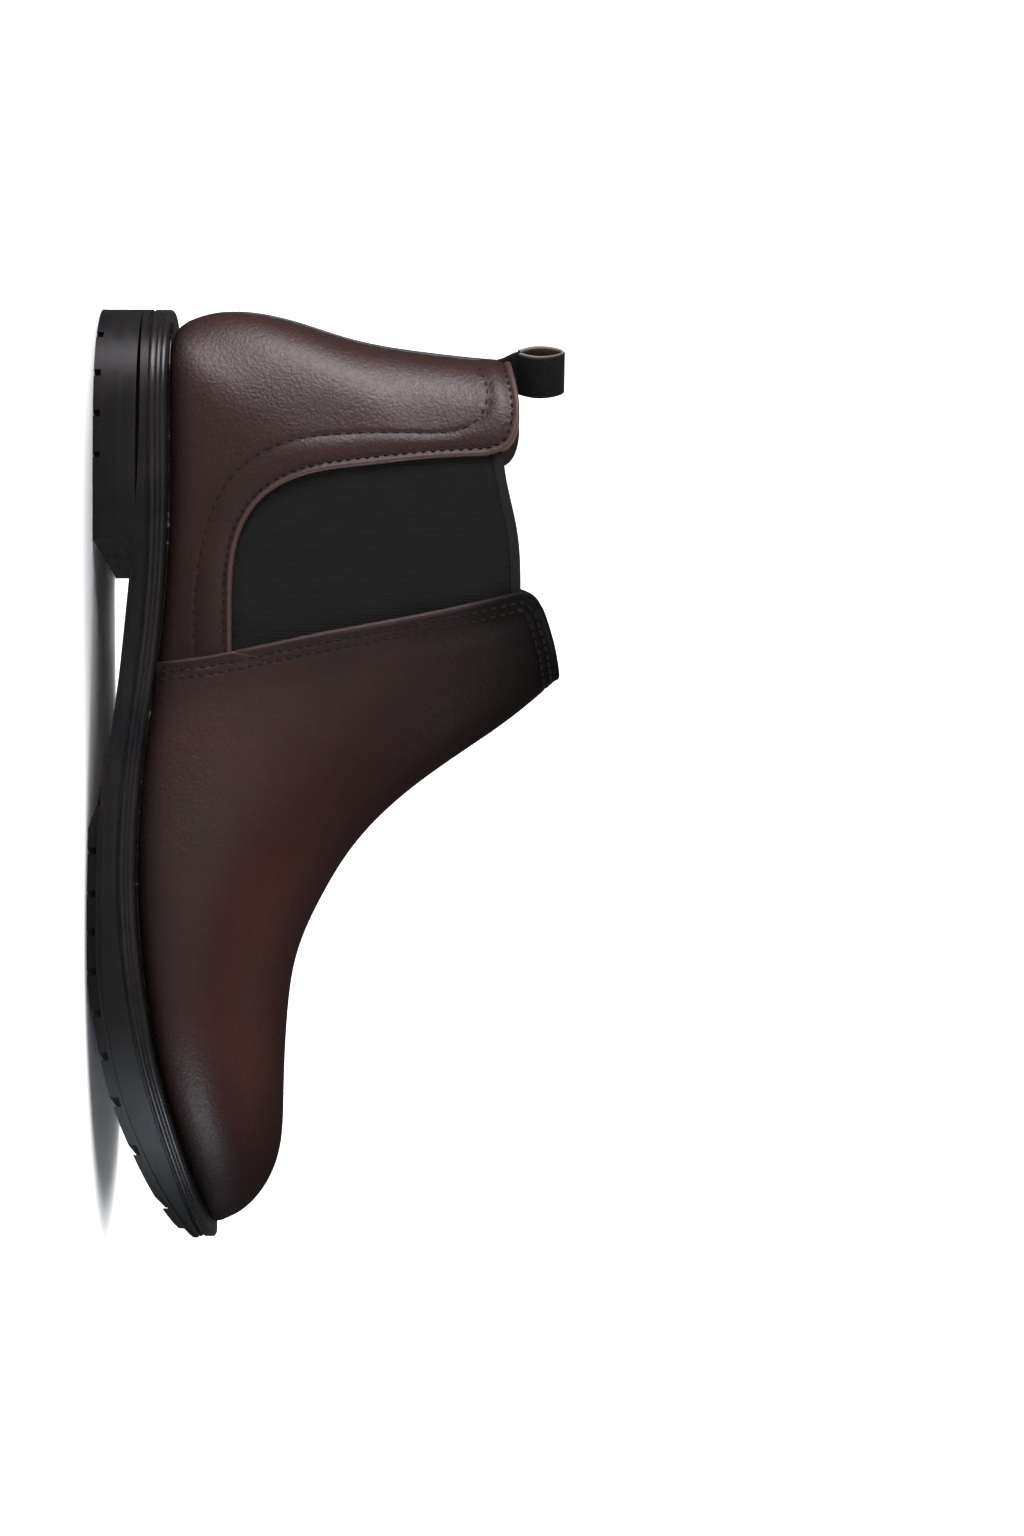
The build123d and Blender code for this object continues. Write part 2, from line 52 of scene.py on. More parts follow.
# ---------- the last, as in part.py
# One section for each row: ridge point (x, z), sole point (x, z), y of the widest line on the
# lateral and the medial side, y of the ridge, where the widest line lies (0 ridge, 1 sole),
# fullness of the ridge, and the flat share of the sole end.
SECTIONS = [
    (143.8, 37.6, 143.9, 33.4, 6, 15, 10.5, 0.6, 0.6, 0.5),
    (142.4, 40.6, 142.8, 33.1, 1.5, 19.5, 10.5, 0.65, 0.6, 0.6),
    (139.4, 45.2, 140.2, 32.4, -4.5, 25.5, 10.5, 0.7, 0.6, 0.7),
    (132, 51.3, 133, 30.5, -13, 33.8, 10, 0.74, 0.58, 0.8),
    (119, 55.9, 120.5, 27.2, -24.5, 42, 9, 0.76, 0.57, 0.85),
    (100, 57, 102, 22.9, -36, 46.3, 7, 0.78, 0.57, 0.88),
    (78, 58.2, 80, 18.9, -43.8, 48.6, 5, 0.79, 0.57, 0.9),
    (57, 61.6, 56, 15.8, -47, 48, 3.5, 0.8, 0.57, 0.9),
    (38, 70, 31, 14.5, -46.5, 46, 2, 0.8, 0.57, 0.9),
    (22, 80.2, 5, 15.2, -42, 39, 1, 0.8, 0.58, 0.9),
    (8, 93.7, -25, 18.4, -36.5, 32.5, 0.5, 0.78, 0.6, 0.88),
    (-4, 109.4, -60, 22, -33, 30.5, 0, 0.72, 0.62, 0.84),
    (-14.5, 124.8, -100, 22.8, -33, 31.5, 0, 0.66, 0.64, 0.78),
    (-22.5, 135.4, -131, 22.9, -33, 32, 0, 0.58, 0.65, 0.66),
    (-29, 143, -144.6, 26.5, -33, 32, 0, 0.52, 0.65, 0.3),
    (-35, 150, -148.2, 42, -32, 31.5, 0, 0.48, 0.65, 0.22),
    (-41, 158, -144.5, 62, -31.5, 31, 0, 0.46, 0.65, 0.2),
    (-46, 167, -138.3, 82, -31.5, 31, 0, 0.45, 0.65, 0.2),
    (-50, 178, -134.2, 107, -32.5, 32, 0, 0.45, 0.65, 0.2),
    (-52, 190, -132, 130, -33.5, 33, 0, 0.45, 0.64, 0.2),
    (-53, 205, -131, 155, -34.5, 34, 0, 0.45, 0.64, 0.2),
]
ROUND_HANDLE = 0.5523
SOLE_CLEARANCE = 0.3
EDGE_ROOM = 0.3              # a side-view point this far past the upper still counts as on it
HALVINGS = 40                # steps of each search by halves
FEATHER = [(-156, 22.8), (-115, 22.8), (-74, 22.6), (-35.5, 19.5), (-10, 16.4), (25.7, 14.4), (53.5, 15.6),
           (72, 17.7), (88.6, 20.1), (102, 22.9), (119, 26.9), (136, 31.2), (156, 36.6)]
SEAM = [(-35.0, 10), (-37.3, 32.8), (-43.9, 65.1), (-52.3, 108.2), (-58.3, 133.9)]
SEAM_FOOT = [(-35.3, 10), (-37.6, 32.8), (-39.9, 43.5)]
FRONT_TOP = [(-29.0, 146.6), (-39.7, 145.0), (-47.9, 142.7), (-56.1, 138.3), (-58.3, 133.9)]
GORE_SIDE = [(-39.9, 43.5), (-58.2, 43.3), (-75.4, 45.7), (-86.4, 52.3), (-93.2, 63), (-97, 81.3),
             (-100.0, 110), (-100.6, 123)]
TOPLINE = [(-100.6, 123), (-103.6, 129.8), (-110.2, 132.9), (-122.4, 132.6), (-131.7, 130.4)]
GORE_TOP = [(-108, 127.2), (-90.5, 129.7), (-75.5, 132.9), (-62, 133.9), (-51, 134.0)]
GORE_BACK = [(-77.5, 39.8), (-91, 47.7), (-99, 61), (-103, 81), (-106, 110), (-108, 127.2)]
BAND_STITCH = [(-130.3, 120.2), (-121.5, 123.1), (-113.8, 121.5), (-109.7, 116.7), (-107.8, 102.7),
               (-107.4, 75.8), (-103.4, 56.5), (-94.3, 43.6), (-76.5, 34.9), (-58.3, 31.7), (-38, 31.6)]
SOLE_EDGE = [(-150.5, -0.3), (-145.5, -17), (-132, -29.5), (-108, -35), (-80, -35.5), (-50, -36.5),
             (-20, -41), (10, -47.8), (40, -52.9), (64, -52.3), (90, -44.9), (112, -33.5), (132, -18.5),
             (145, -3.5), (150, 10.5), (147, 24), (137.5, 37), (121, 47), (98, 52), (74, 53.3),
             (50, 51.5), (25, 46), (0, 38.8), (-25, 34.2), (-50, 32.4), (-80, 33.2), (-108, 33.5),
             (-132, 28.8), (-145.5, 16.5)]

# Depths under the outer surface, as in part.py.
LEATHER = 1.5
CORE = (1.6, 2.6)
LINING = (2.7, 3.7)

# Stitching and edges.
FRONT_ROWS = (3.3, 5.8)      # the two rows on the front panel, from its edge
QUARTER_ROW = 2.4
STITCH_PITCH = 3.1
BAND_PITCH = 3.7
RIDGE_GAP = 0.03             # stitch rows stop here, short of the ridge
FRONT_LAP = 0.9              # the front panel lies over the quarters

# The pull loop's own directions: it is turned about the upright.
LOOP_TWIST = np.radians(35.0)
LOOP_FORWARD = np.array([np.cos(LOOP_TWIST), -np.sin(LOOP_TWIST), 0])
LOOP_SIDEWAYS = np.array([-np.sin(LOOP_TWIST), -np.cos(LOOP_TWIST), 0])
UPRIGHT = np.array([0, 0, 1.0])


# ---------- curves
def spline(knots, values):
    """Natural cubic spline through rows of values, as a function of an array."""
    knots = np.asarray(knots, float)
    values = np.asarray(values, float)
    count = len(knots)
    step = np.diff(knots)
    system = np.eye(count)
    right = np.zeros(values.shape)
    for i in range(1, count - 1):
        system[i, i - 1:i + 2] = step[i - 1], 2 * (step[i - 1] + step[i]), step[i]
        right[i] = 6 * ((values[i + 1] - values[i]) / step[i] - (values[i] - values[i - 1]) / step[i - 1])
    bend = np.linalg.solve(system, right)

    def at(t):
        t = np.asarray(t, float)
        i = np.clip(np.searchsorted(knots, t) - 1, 0, count - 2)
        b = ((t - knots[i]) / step[i])[..., None]
        a = 1 - b
        h = step[i][..., None]
        cubic = (a**3 - a) * bend[i] + (b**3 - b) * bend[i + 1]
        return a * values[i] + b * values[i + 1] + cubic * h * h / 6

    return at


def lengths(line):
    """Distance along a line of points, from its start."""
    return np.r_[0, np.cumsum(np.linalg.norm(np.diff(line, axis=0), axis=1))]


def unit(rows):
    """Rows of vectors, each brought to length one."""
    return rows / (np.linalg.norm(rows, axis=-1)[..., None] + 1e-12)


def sample(line, along, wanted):
    """Values of a line at the wanted places, where along holds the place of each of its points."""
    return np.stack([np.interp(wanted, along, line[:, k]) for k in range(line.shape[1])], -1)


def even(line, count):
    """The line again with its points evenly spaced."""
    along = lengths(line)
    return sample(line, along, np.linspace(0, along[-1], count))


def curve(points, count=400):
    """Smooth line through side-view points."""
    points = np.asarray(points, float)
    return even(spline(lengths(points), points)(np.linspace(0, lengths(points)[-1], 1500)), count)


def shifted(line, distance):
    """A side-view line moved to its left by distance."""
    way = unit(np.gradient(line, axis=0))
    return line + distance * np.stack([-way[:, 1], way[:, 0]], -1)


def smooth(low, high, value):
    t = np.clip((value - low) / (high - low), 0, 1)
    return t * t * (3 - 2 * t)


feather_at = spline([p[0] for p in FEATHER], [[p[1]] for p in FEATHER])
last_at = spline(np.arange(len(SECTIONS)), SECTIONS)


def feather(x):
    return feather_at(np.asarray(x, float))[..., 0]


# ---------- the upper's surface
def raw(u, t, side):
    """Point of the outer surface: u counts sections from the toe, t runs 0 ridge, 1 sole edge, 2 middle."""
    ax, az, bx, bz, lateral, medial, ridge, widest, full, flat = np.moveaxis(last_at(u), -1, 0)
    bz = bz + SOLE_CLEARANCE
    edge = np.where(np.asarray(side) < 0, lateral, medial)
    length = np.hypot(bx - ax, bz - az)
    wide = widest * length
    middle = (lateral + medial) / 2
    tuck = middle + flat * (edge - middle)
    p = np.clip(2 * t, 0, 1)
    q = np.clip(2 * t - 1, 0, 1)
    s_upper = wide * (3 * (1 - p) * p * p * (1 - full) + p**3)
    y_upper = ridge + (edge - ridge) * (3 * (1 - p)**2 * p * full + 3 * (1 - p) * p * p + p**3)
    s_lower = (wide * (1 - q)**3 + 3 * (1 - q)**2 * q * (wide + ROUND_HANDLE * (length - wide))
               + (3 * (1 - q) * q * q + q**3) * length)
    y_lower = (edge * ((1 - q)**3 + 3 * (1 - q)**2 * q) + q**3 * tuck
               + 3 * (1 - q) * q * q * (tuck + ROUND_HANDLE * (edge - tuck)))
    s = np.where(t <= 0.5, s_upper, s_lower)
    y = np.where(t <= 0.5, y_upper, y_lower)
    y = np.where(t > 1, tuck + (middle - tuck) * np.clip(t - 1, 0, 1), y)
    return np.stack([ax + (bx - ax) * s / length, y, az + (bz - az) * s / length], -1)


def normal(u, t, side):
    """Outward unit normal of the outer surface."""
    step = 2e-3
    du = np.where(u > 10, -step, step)
    dt = np.where(t > 0.5, -step, step)
    along = raw(u + du, t, side) - raw(u, t, side)
    across = raw(u, t + dt, side) - raw(u, t, side)
    n = unit(np.cross(along, across))
    row = last_at(u)
    centre = np.stack([(row[..., 0] + row[..., 2]) / 2, (row[..., 4] + row[..., 5]) / 2,
                       (row[..., 1] + row[..., 3]) / 2], -1)
    sign = np.sign(np.sum(n * (raw(u, t, side) - centre), -1))
    return n * sign[..., None]


def skin(u, t, side, lift):
    """Point lifted from the outer surface."""
    u, t, side, lift = np.broadcast_arrays(*[np.asarray(v, float) for v in (u, t, side, lift)])
    return raw(u, t, side) + normal(u, t, side) * lift[..., None]


def surface_place(line):
    """(u, t) of side-view points."""
    x, z = np.asarray(line, float).T
    low = np.zeros(len(x))
    high = np.full(len(x), len(SECTIONS) - 1.0)
    for _ in range(HALVINGS):
        u = (low + high) / 2
        row = last_at(u)
        turn = ((row[:, 2] - row[:, 0]) * (z - row[:, 1])
                - (row[:, 3] + SOLE_CLEARANCE - row[:, 1]) * (x - row[:, 0]))
        low = np.where(turn < 0, u, low)
        high = np.where(turn < 0, high, u)
    u = (low + high) / 2
    row = last_at(u)
    way = np.stack([row[:, 2] - row[:, 0], row[:, 3] + SOLE_CLEARANCE - row[:, 1]], -1)
    length = np.linalg.norm(way, axis=1)
    s = ((x - row[:, 0]) * way[:, 0] + (z - row[:, 1]) * way[:, 1]) / length
    low = np.zeros(len(x))
    high = np.ones(len(x))
    for _ in range(HALVINGS):
        t = (low + high) / 2
        p = raw(u, t, LATERAL)
        here = np.hypot(p[:, 0] - row[:, 0], p[:, 2] - row[:, 1])
        low = np.where(here < s, t, low)
        high = np.where(here < s, high, t)
    inside = (s > -EDGE_ROOM) & (s < length + EDGE_ROOM)
    return np.stack([u, (low + high) / 2], -1), inside


def on_upper(line):
    """(u, t) of the side-view points that lie on the upper."""
    place, inside = surface_place(line)
    return place[inside]


def at(line, share):
    """Points of an evenly spaced line at shares of its length."""
    return sample(line, np.linspace(0, 1, len(line)), share)


def coons(low, high, left, right, a, b):
    """Patch between four (u, t) lines: low and high run along a, left and right along b."""
    share_a = a[:, None, None]
    share_b = b[None, :, None]
    ruled_a = (1 - share_b) * at(low, a)[:, None] + share_b * at(high, a)[:, None]
    ruled_b = (1 - share_a) * at(left, b)[None] + share_a * at(right, b)[None]
    corners = ((1 - share_a) * (1 - share_b) * low[0] + share_a * (1 - share_b) * low[-1]
               + (1 - share_a) * share_b * high[0] + share_a * share_b * high[-1])
    return ruled_a + ruled_b - corners


def close_to_one(coarse, fine_steps=18):
    """Shares from 0 to 1, closer together near 1."""
    fine = 1 - 0.11 * (np.arange(fine_steps) / fine_steps)**1.4
    return np.r_[np.linspace(0, fine[-1], coarse, endpoint=False), fine[::-1]]


def nearest(points, line):
    """Distance from each point to a line, and the distance along the line of the nearest point."""
    flat = points.reshape(-1, 3)
    along = lengths(line)
    distance = np.empty(len(flat))
    place = np.empty(len(flat))
    for i in range(0, len(flat), 4000):
        gap = np.linalg.norm(flat[i:i + 4000, None] - line[None], axis=2)
        best = gap.argmin(1)
        distance[i:i + 4000] = gap.min(1)
        place[i:i + 4000] = along[best]
    return distance.reshape(points.shape[:-1]), place.reshape(points.shape[:-1])


# ---------- meshes
def make(name, points, faces, material, values=None):
    """Mesh object from points in millimetres; values are float attributes by name."""
    mesh = bpy.data.meshes.new(name)
    points = np.asarray(points, float).reshape(-1, 3) * MM
    mesh.from_pydata(points.tolist(), [], [list(map(int, f)) for f in faces])
    rest = mesh.attributes.new("rest", "FLOAT_VECTOR", "POINT")
    rest.data.foreach_set("vector", points.astype(np.float32).ravel())
    for key, value in (values or {}).items():
        layer = mesh.attributes.new(key, "FLOAT", "POINT")
        layer.data.foreach_set("value", np.asarray(value, np.float32).ravel())
    work = bmesh.new()
    work.from_mesh(mesh)
    bmesh.ops.remove_doubles(work, verts=work.verts, dist=2e-6)
    bmesh.ops.dissolve_degenerate(work, edges=work.edges, dist=1e-7)
    bmesh.ops.recalc_face_normals(work, faces=work.faces)
    work.to_mesh(mesh)
    work.free()
    mesh.shade_smooth()
    mesh.materials.append(material)
    piece = bpy.data.objects.new(name, mesh)
    bpy.context.scene.collection.objects.link(piece)
    return piece


def grid_faces(rows, columns, first=0, wrap=False):
    """Quads of a grid of points."""
    i, j = np.meshgrid(np.arange(rows if wrap else rows - 1), np.arange(columns - 1), indexing="ij")
    a = first + i * columns + j
    b = first + ((i + 1) % rows) * columns + j
    return np.stack([a, b, b + 1, a + 1], -1).reshape(-1, 4)


def both_faces(value):
    """Values for the outer and the inner points, from one array for both or from a pair."""
    outer, inner = value if isinstance(value, tuple) else (value, value)
    return np.r_[outer.ravel(), inner.ravel()]


def shell(name, outer, inner, material, values=None, toe=False):
    """Closed sheet between two grids of points. A toe grid closes on itself at its first column."""
    rows, columns = outer.shape[:2]
    count = rows * columns
    faces = [grid_faces(rows, columns), grid_faces(rows, columns, count)[:, ::-1]]
    index = np.arange(count).reshape(rows, columns)
    borders = [index[0], index[-1][::-1], index[:, -1]]
    if not toe:
        borders.append(index[:, 0][::-1])
    for border in borders:
        faces.append(np.stack([border[:-1], border[1:], border[1:] + count, border[:-1] + count], -1))
    points = np.concatenate([outer.reshape(-1, 3), inner.reshape(-1, 3)])
    doubled = {key: both_faces(value) for key, value in (values or {}).items()}
    return make(name, points, np.concatenate(faces), material, doubled)


def add_blank(piece):
    """Zero burnish, painted shade and rim on a piece of plain leather."""
    for key in ("burnish_and_shade", "rim"):
        piece.data.attributes.new(key, "FLOAT", "POINT")


def round_points(line, across, up, radius, sides, flat=1.0):
    """Points round a line, one row for each side; flat below 1 makes it lower than wide."""
    turn = np.linspace(0, 2 * np.pi, sides, endpoint=False)[:, None, None]
    ring = np.cos(turn) * across[None] + flat * np.sin(turn) * up[None]
    return (line[None] + ring * radius[None, :, None]).reshape(-1, 3)


def round_faces(sides, count, first=0):
    """Faces of a round body of count rings, closed at both ends."""
    faces = [list(f) for f in grid_faces(sides, count, first, wrap=True)]
    faces.append([first + k * count for k in range(sides)][::-1])
    faces.append([first + (k + 1) * count - 1 for k in range(sides)])
    return faces


def tube(name, line, radius, material, sides):
    """Closed round tube along a line of points."""
    way = unit(np.gradient(line, axis=0))
    across = unit(np.cross(way, (0, 0, 1.0)))
    points = round_points(line, across, np.cross(across, way), radius, sides)
    return make(name, points, round_faces(sides, len(line)), material)


# ---------- material nodes
def graph(name):
    material = bpy.data.materials.new(name)
    material.use_nodes = True
    tree = material.node_tree
    shader = next(n for n in tree.nodes if n.type == "BSDF_PRINCIPLED")
    return material, tree, shader


def add(tree, kind, **settings):
    node = tree.nodes.new(kind)
    for key, value in settings.items():
        setattr(node, key, value)
    return node


def attribute(tree, name, output="Fac"):
    return add(tree, "ShaderNodeAttribute", attribute_name=name).outputs[output]


def noise(tree, where, scale, detail=3.0, rough=0.5):
    node = add(tree, "ShaderNodeTexNoise")
    node.inputs["Scale"].default_value = scale
    node.inputs["Detail"].default_value = detail
    node.inputs["Roughness"].default_value = rough
    tree.links.new(where, node.inputs["Vector"])
    return node.outputs["Fac"]


def stretched(tree, where, scale):
    node = add(tree, "ShaderNodeMapping")
    node.inputs["Scale"].default_value = scale
    tree.links.new(where, node.inputs["Vector"])
    return node.outputs["Vector"]


def spread(tree, value, low, high, out_low, out_high):
    node = add(tree, "ShaderNodeMapRange")
    node.inputs["From Min"].default_value = low
    node.inputs["From Max"].default_value = high
    node.inputs["To Min"].default_value = out_low
    node.inputs["To Max"].default_value = out_high
    tree.links.new(value, node.inputs["Value"])
    return node.outputs["Result"]


def math(tree, operation, a, b):
    node = add(tree, "ShaderNodeMath", operation=operation)
    for value, socket in ((a, node.inputs[0]), (b, node.inputs[1])):
        if isinstance(value, (int, float)):
            socket.default_value = value
        else:
            tree.links.new(value, socket)
    return node.outputs[0]


def plus(tree, a, b):
    return math(tree, "ADD", a, b)


def times(tree, a, b):
    return math(tree, "MULTIPLY", a, b)


def rest_place(tree):
    """Place on the piece before any joint moves it."""
    return attribute(tree, "rest", "Vector")


def ribs(tree, name, per_metre):
    """Sine wave along an attribute in metres."""
    return math(tree, "SINE", times(tree, attribute(tree, name), 2 * np.pi * per_metre), 0.0)


def feed(tree, shader, socket, value):
    tree.links.new(value, shader.inputs[socket])


def blend_color(tree, share, a, b):
    node = add(tree, "ShaderNodeMix", data_type="RGBA")
    tree.links.new(share, node.inputs["Factor"])
    for value, socket in ((a, node.inputs[6]), (b, node.inputs[7])):
        if isinstance(value, tuple):
            socket.default_value = (*value, 1)
        else:
            tree.links.new(value, socket)
    return node.outputs[2]


def bump(tree, shader, height, distance, strength=1.0):
    node = add(tree, "ShaderNodeBump")
    node.inputs["Distance"].default_value = distance
    node.inputs["Strength"].default_value = strength
    tree.links.new(height, node.inputs["Height"])
    tree.links.new(node.outputs["Normal"], shader.inputs["Normal"])


def leather_material(name, base, deep, dark, rim, rough=0.42, coat=0.12, dulls=False):
    """Fine pebbled leather: deep varies the base, dark is the colour of the burnish and of the painted
    shade, and rim the folded edge.

    Where dulls is set, the burnish and painted shade take the gloss off as well."""
    pebble_scale, crease_scale, pore_scale, cloud_scale = 1150, 560, 3200, 26
    full_gloss, dull_gloss, extra_rough = 0.5, 0.16, 0.16
    material, tree, shader = graph(name)
    where = rest_place(tree)
    cells = add(tree, "ShaderNodeTexVoronoi", feature="SMOOTH_F1")
    cells.inputs["Scale"].default_value = pebble_scale
    tree.links.new(where, cells.inputs["Vector"])
    creases = noise(tree, where, crease_scale, 4, 0.6)
    pores = noise(tree, where, pore_scale, 2)
    height = plus(tree, times(tree, cells.outputs["Distance"], 0.75), times(tree, creases, 0.8))
    height = plus(tree, height, times(tree, pores, 0.25))
    bump(tree, shader, height, 0.00022, 0.75)
    tone = spread(tree, noise(tree, where, cloud_scale, 4, 0.6), 0.3, 0.7, 0, 1)
    color = blend_color(tree, tone, base, deep)
    # Burnish, with painted shade along the ridge of the front panel, blends the colour toward dark.
    burnish_and_shade = attribute(tree, "burnish_and_shade")
    color = blend_color(tree, burnish_and_shade, color, dark)
    color = blend_color(tree, attribute(tree, "rim"), color, rim)
    feed(tree, shader, "Base Color", color)
    roughness = spread(tree, creases, 0.3, 0.7, rough - 0.05, rough + 0.07)
    if dulls:
        roughness = plus(tree, roughness, times(tree, burnish_and_shade, extra_rough))
        feed(tree, shader, "Specular IOR Level", spread(tree, burnish_and_shade, 0, 1, full_gloss, dull_gloss))
        feed(tree, shader, "Coat Weight", spread(tree, burnish_and_shade, 0, 1, coat, 0.0))
    else:
        shader.inputs["Specular IOR Level"].default_value = full_gloss
        shader.inputs["Coat Weight"].default_value = coat
    feed(tree, shader, "Roughness", roughness)
    shader.inputs["Coat Roughness"].default_value = 0.34
    return material


def woven_material(name, base, light, across=(1400, 2600), rough=0.85, depth=0.00009):
    """Ribbed weave on pieces that carry the attributes warp and weft, in metres."""
    fuzz_scale, cloud_scale = 5200, 90
    material, tree, shader = graph(name)
    warp = ribs(tree, "warp", across[0])
    weft = ribs(tree, "weft", across[1])
    where = rest_place(tree)
    fuzz = noise(tree, where, fuzz_scale, 2)
    height = plus(tree, times(tree, warp, 0.5), times(tree, weft, 0.3))
    height = plus(tree, height, times(tree, fuzz, 0.8))
    bump(tree, shader, height, depth, 0.8)
    tone = spread(tree, plus(tree, height, noise(tree, where, cloud_scale, 3)), -0.2, 1.8, 0, 1)
    feed(tree, shader, "Base Color", blend_color(tree, tone, base, light))
    feed(tree, shader, "Roughness", spread(tree, fuzz, 0.3, 0.7, rough - 0.08, rough + 0.08))
    shader.inputs["Specular IOR Level"].default_value = 0.3
    return material


def webbing_material():
    """Near-black webbing with a taupe inner face and a pale thread at its cut edge."""
    black, taupe, pale = (0.0075, 0.006, 0.0058), (0.075, 0.055, 0.043), (0.30, 0.27, 0.24)
    material, tree, shader = graph("webbing")
    weave = times(tree, ribs(tree, "warp", 1500), ribs(tree, "weft", 900))
    bump(tree, shader, weave, 0.00008, 0.7)
    color = blend_color(tree, attribute(tree, "inside"), black, taupe)
    feed(tree, shader, "Base Color", blend_color(tree, attribute(tree, "edge"), color, pale))
    fuzz = noise(tree, rest_place(tree), 900)
    feed(tree, shader, "Roughness", spread(tree, fuzz, 0.3, 0.7, 0.7, 0.9))
    return material


def rubber_material(name, base, light, rough, on_cad_node=False):
    """Moulded rubber with faint striations along the sole and scuffs."""
    streak_scale, grain_scale, cloud_scale = 620, 2600, 40
    material, tree, shader = graph(name)
    where = add(tree, "ShaderNodeTexCoord").outputs["Object"] if on_cad_node else rest_place(tree)
    streaks = noise(tree, stretched(tree, where, (0.05, 0.12, 1)), streak_scale, 4, 0.6)
    grain = noise(tree, where, grain_scale, 2)
    bump(tree, shader, plus(tree, times(tree, streaks, 0.6), times(tree, grain, 0.35)), 0.00006, 0.5)
    tone = spread(tree, noise(tree, where, cloud_scale, 5, 0.65), 0.35, 0.75, 0, 1)
    feed(tree, shader, "Base Color", blend_color(tree, tone, base, light))
    feed(tree, shader, "Roughness", spread(tree, streaks, 0.3, 0.7, rough - 0.07, rough + 0.09))
    return material


def cement_material():
    """Glossy cement squeezed out along the feather, whitish in places."""
    dark, whitish = (0.006, 0.006, 0.006), (0.16, 0.15, 0.14)
    material, tree, shader = graph("cement")
    where = rest_place(tree)
    patches = spread(tree, noise(tree, where, 160, 5, 0.7), 0.57, 0.68, 0, 1)
    feed(tree, shader, "Base Color", blend_color(tree, patches, dark, whitish))
    bump(tree, shader, noise(tree, where, 900, 3), 0.0002, 0.6)
    feed(tree, shader, "Roughness", spread(tree, patches, 0, 1, 0.2, 0.45))
    return material


def thread_material():
    """Waxed thread with its twist."""
    dark, light = (0.0025, 0.0018, 0.0018), (0.010, 0.007, 0.0065)
    material, tree, shader = graph("thread")
    wave = add(tree, "ShaderNodeTexWave", bands_direction="DIAGONAL")
    wave.inputs["Scale"].default_value = 900
    tree.links.new(rest_place(tree), wave.inputs["Vector"])
    twist = wave.outputs["Fac"]
    bump(tree, shader, twist, 0.00005, 0.6)
    feed(tree, shader, "Base Color", blend_color(tree, twist, dark, light))
    feed(tree, shader, "Roughness", spread(tree, twist, 0, 1, 0.62, 0.78))
    return material


def plain_material(name, base, light, scale, rough, depth=0.0001, metal=0.0, stretch=(1, 1, 1)):
    """Board, cork, foam, steel and the like."""
    material, tree, shader = graph(name)
    where = stretched(tree, add(tree, "ShaderNodeTexCoord").outputs["Object"], stretch)
    grain = noise(tree, where, scale, 5, 0.65)
    feed(tree, shader, "Base Color", blend_color(tree, spread(tree, grain, 0.3, 0.7, 0, 1), base, light))
    feed(tree, shader, "Roughness", spread(tree, grain, 0.3, 0.7, rough - 0.08, rough + 0.08))
    bump(tree, shader, grain, depth, 0.6)
    shader.inputs["Metallic"].default_value = metal
    return material


# The near-black fourth colour of outer_leather is for burnish and for the painted shade along the ridge.
OUTER = leather_material("outer_leather", (0.041, 0.0125, 0.0088), (0.028, 0.0104, 0.0078),
                         (0.0022, 0.0012, 0.0011), (0.070, 0.038, 0.034), rough=0.42, coat=0.22, dulls=True)
LINED = leather_material("lining_leather", (0.060, 0.043, 0.033), (0.048, 0.034, 0.026), (0.03, 0.02, 0.016),
                         (0.05, 0.03, 0.025), rough=0.62, coat=0.0)
PIPING = leather_material("piping", (0.010, 0.007, 0.007), (0.007, 0.005, 0.005), (0.004, 0.004, 0.004),
                          (0.01, 0.008, 0.008), rough=0.4)
ELASTIC = woven_material("elastic", (0.0028, 0.0028, 0.0028), (0.0120, 0.0120, 0.0120), depth=0.00014)
TAPE = woven_material("tape", (0.006, 0.006, 0.006), (0.017, 0.016, 0.016), across=(2400, 1200))
THREAD = thread_material()
CEMENT = cement_material()
WEBBING = webbing_material()
WELT_RUBBER = rubber_material("welt_rubber", (0.0070, 0.0066, 0.0080), (0.020, 0.016, 0.015), 0.30)
SOLE_RUBBER = rubber_material("sole_rubber", (0.0055, 0.0055, 0.0065), (0.014, 0.012, 0.011), 0.38, True)
FOAM = plain_material("foam", (0.20, 0.18, 0.15), (0.30, 0.27, 0.23), 900, 0.9)


# ---------- lines on the upper
SEAM_LINE = curve(SEAM)
TOP_LINE = curve(FRONT_TOP)
SEAM_UT = on_upper(SEAM_LINE)
TOP_UT = on_upper(TOP_LINE)
GORE_UT = on_upper(curve([(-34.9, 43.5)] + GORE_SIDE[1:]))
TOPLINE_UT = on_upper(curve(TOPLINE))
FOOT_UT = on_upper(curve([(x + 5, z) for x, z in SEAM_FOOT])[::-1])
TOE_TO_SHAFT = SEAM_UT[0, 0]
BACK_TOP = TOPLINE_UT[-1, 0]


def along_upper(places, side, lift=0.0):
    """Points in space of a line of (u, t)."""
    return skin(places[:, 0], places[:, 1], side, lift)


def rounded_rim(d, width, height):
    """Half-round bead along an edge."""
    return height * np.sqrt(np.clip(1 - ((d - width / 2) / (width / 2))**2, 0, 1)) * (d < width)


def groove(d, where, depth, width=0.45):
    return -depth * np.exp(-((d - where) / width)**2)


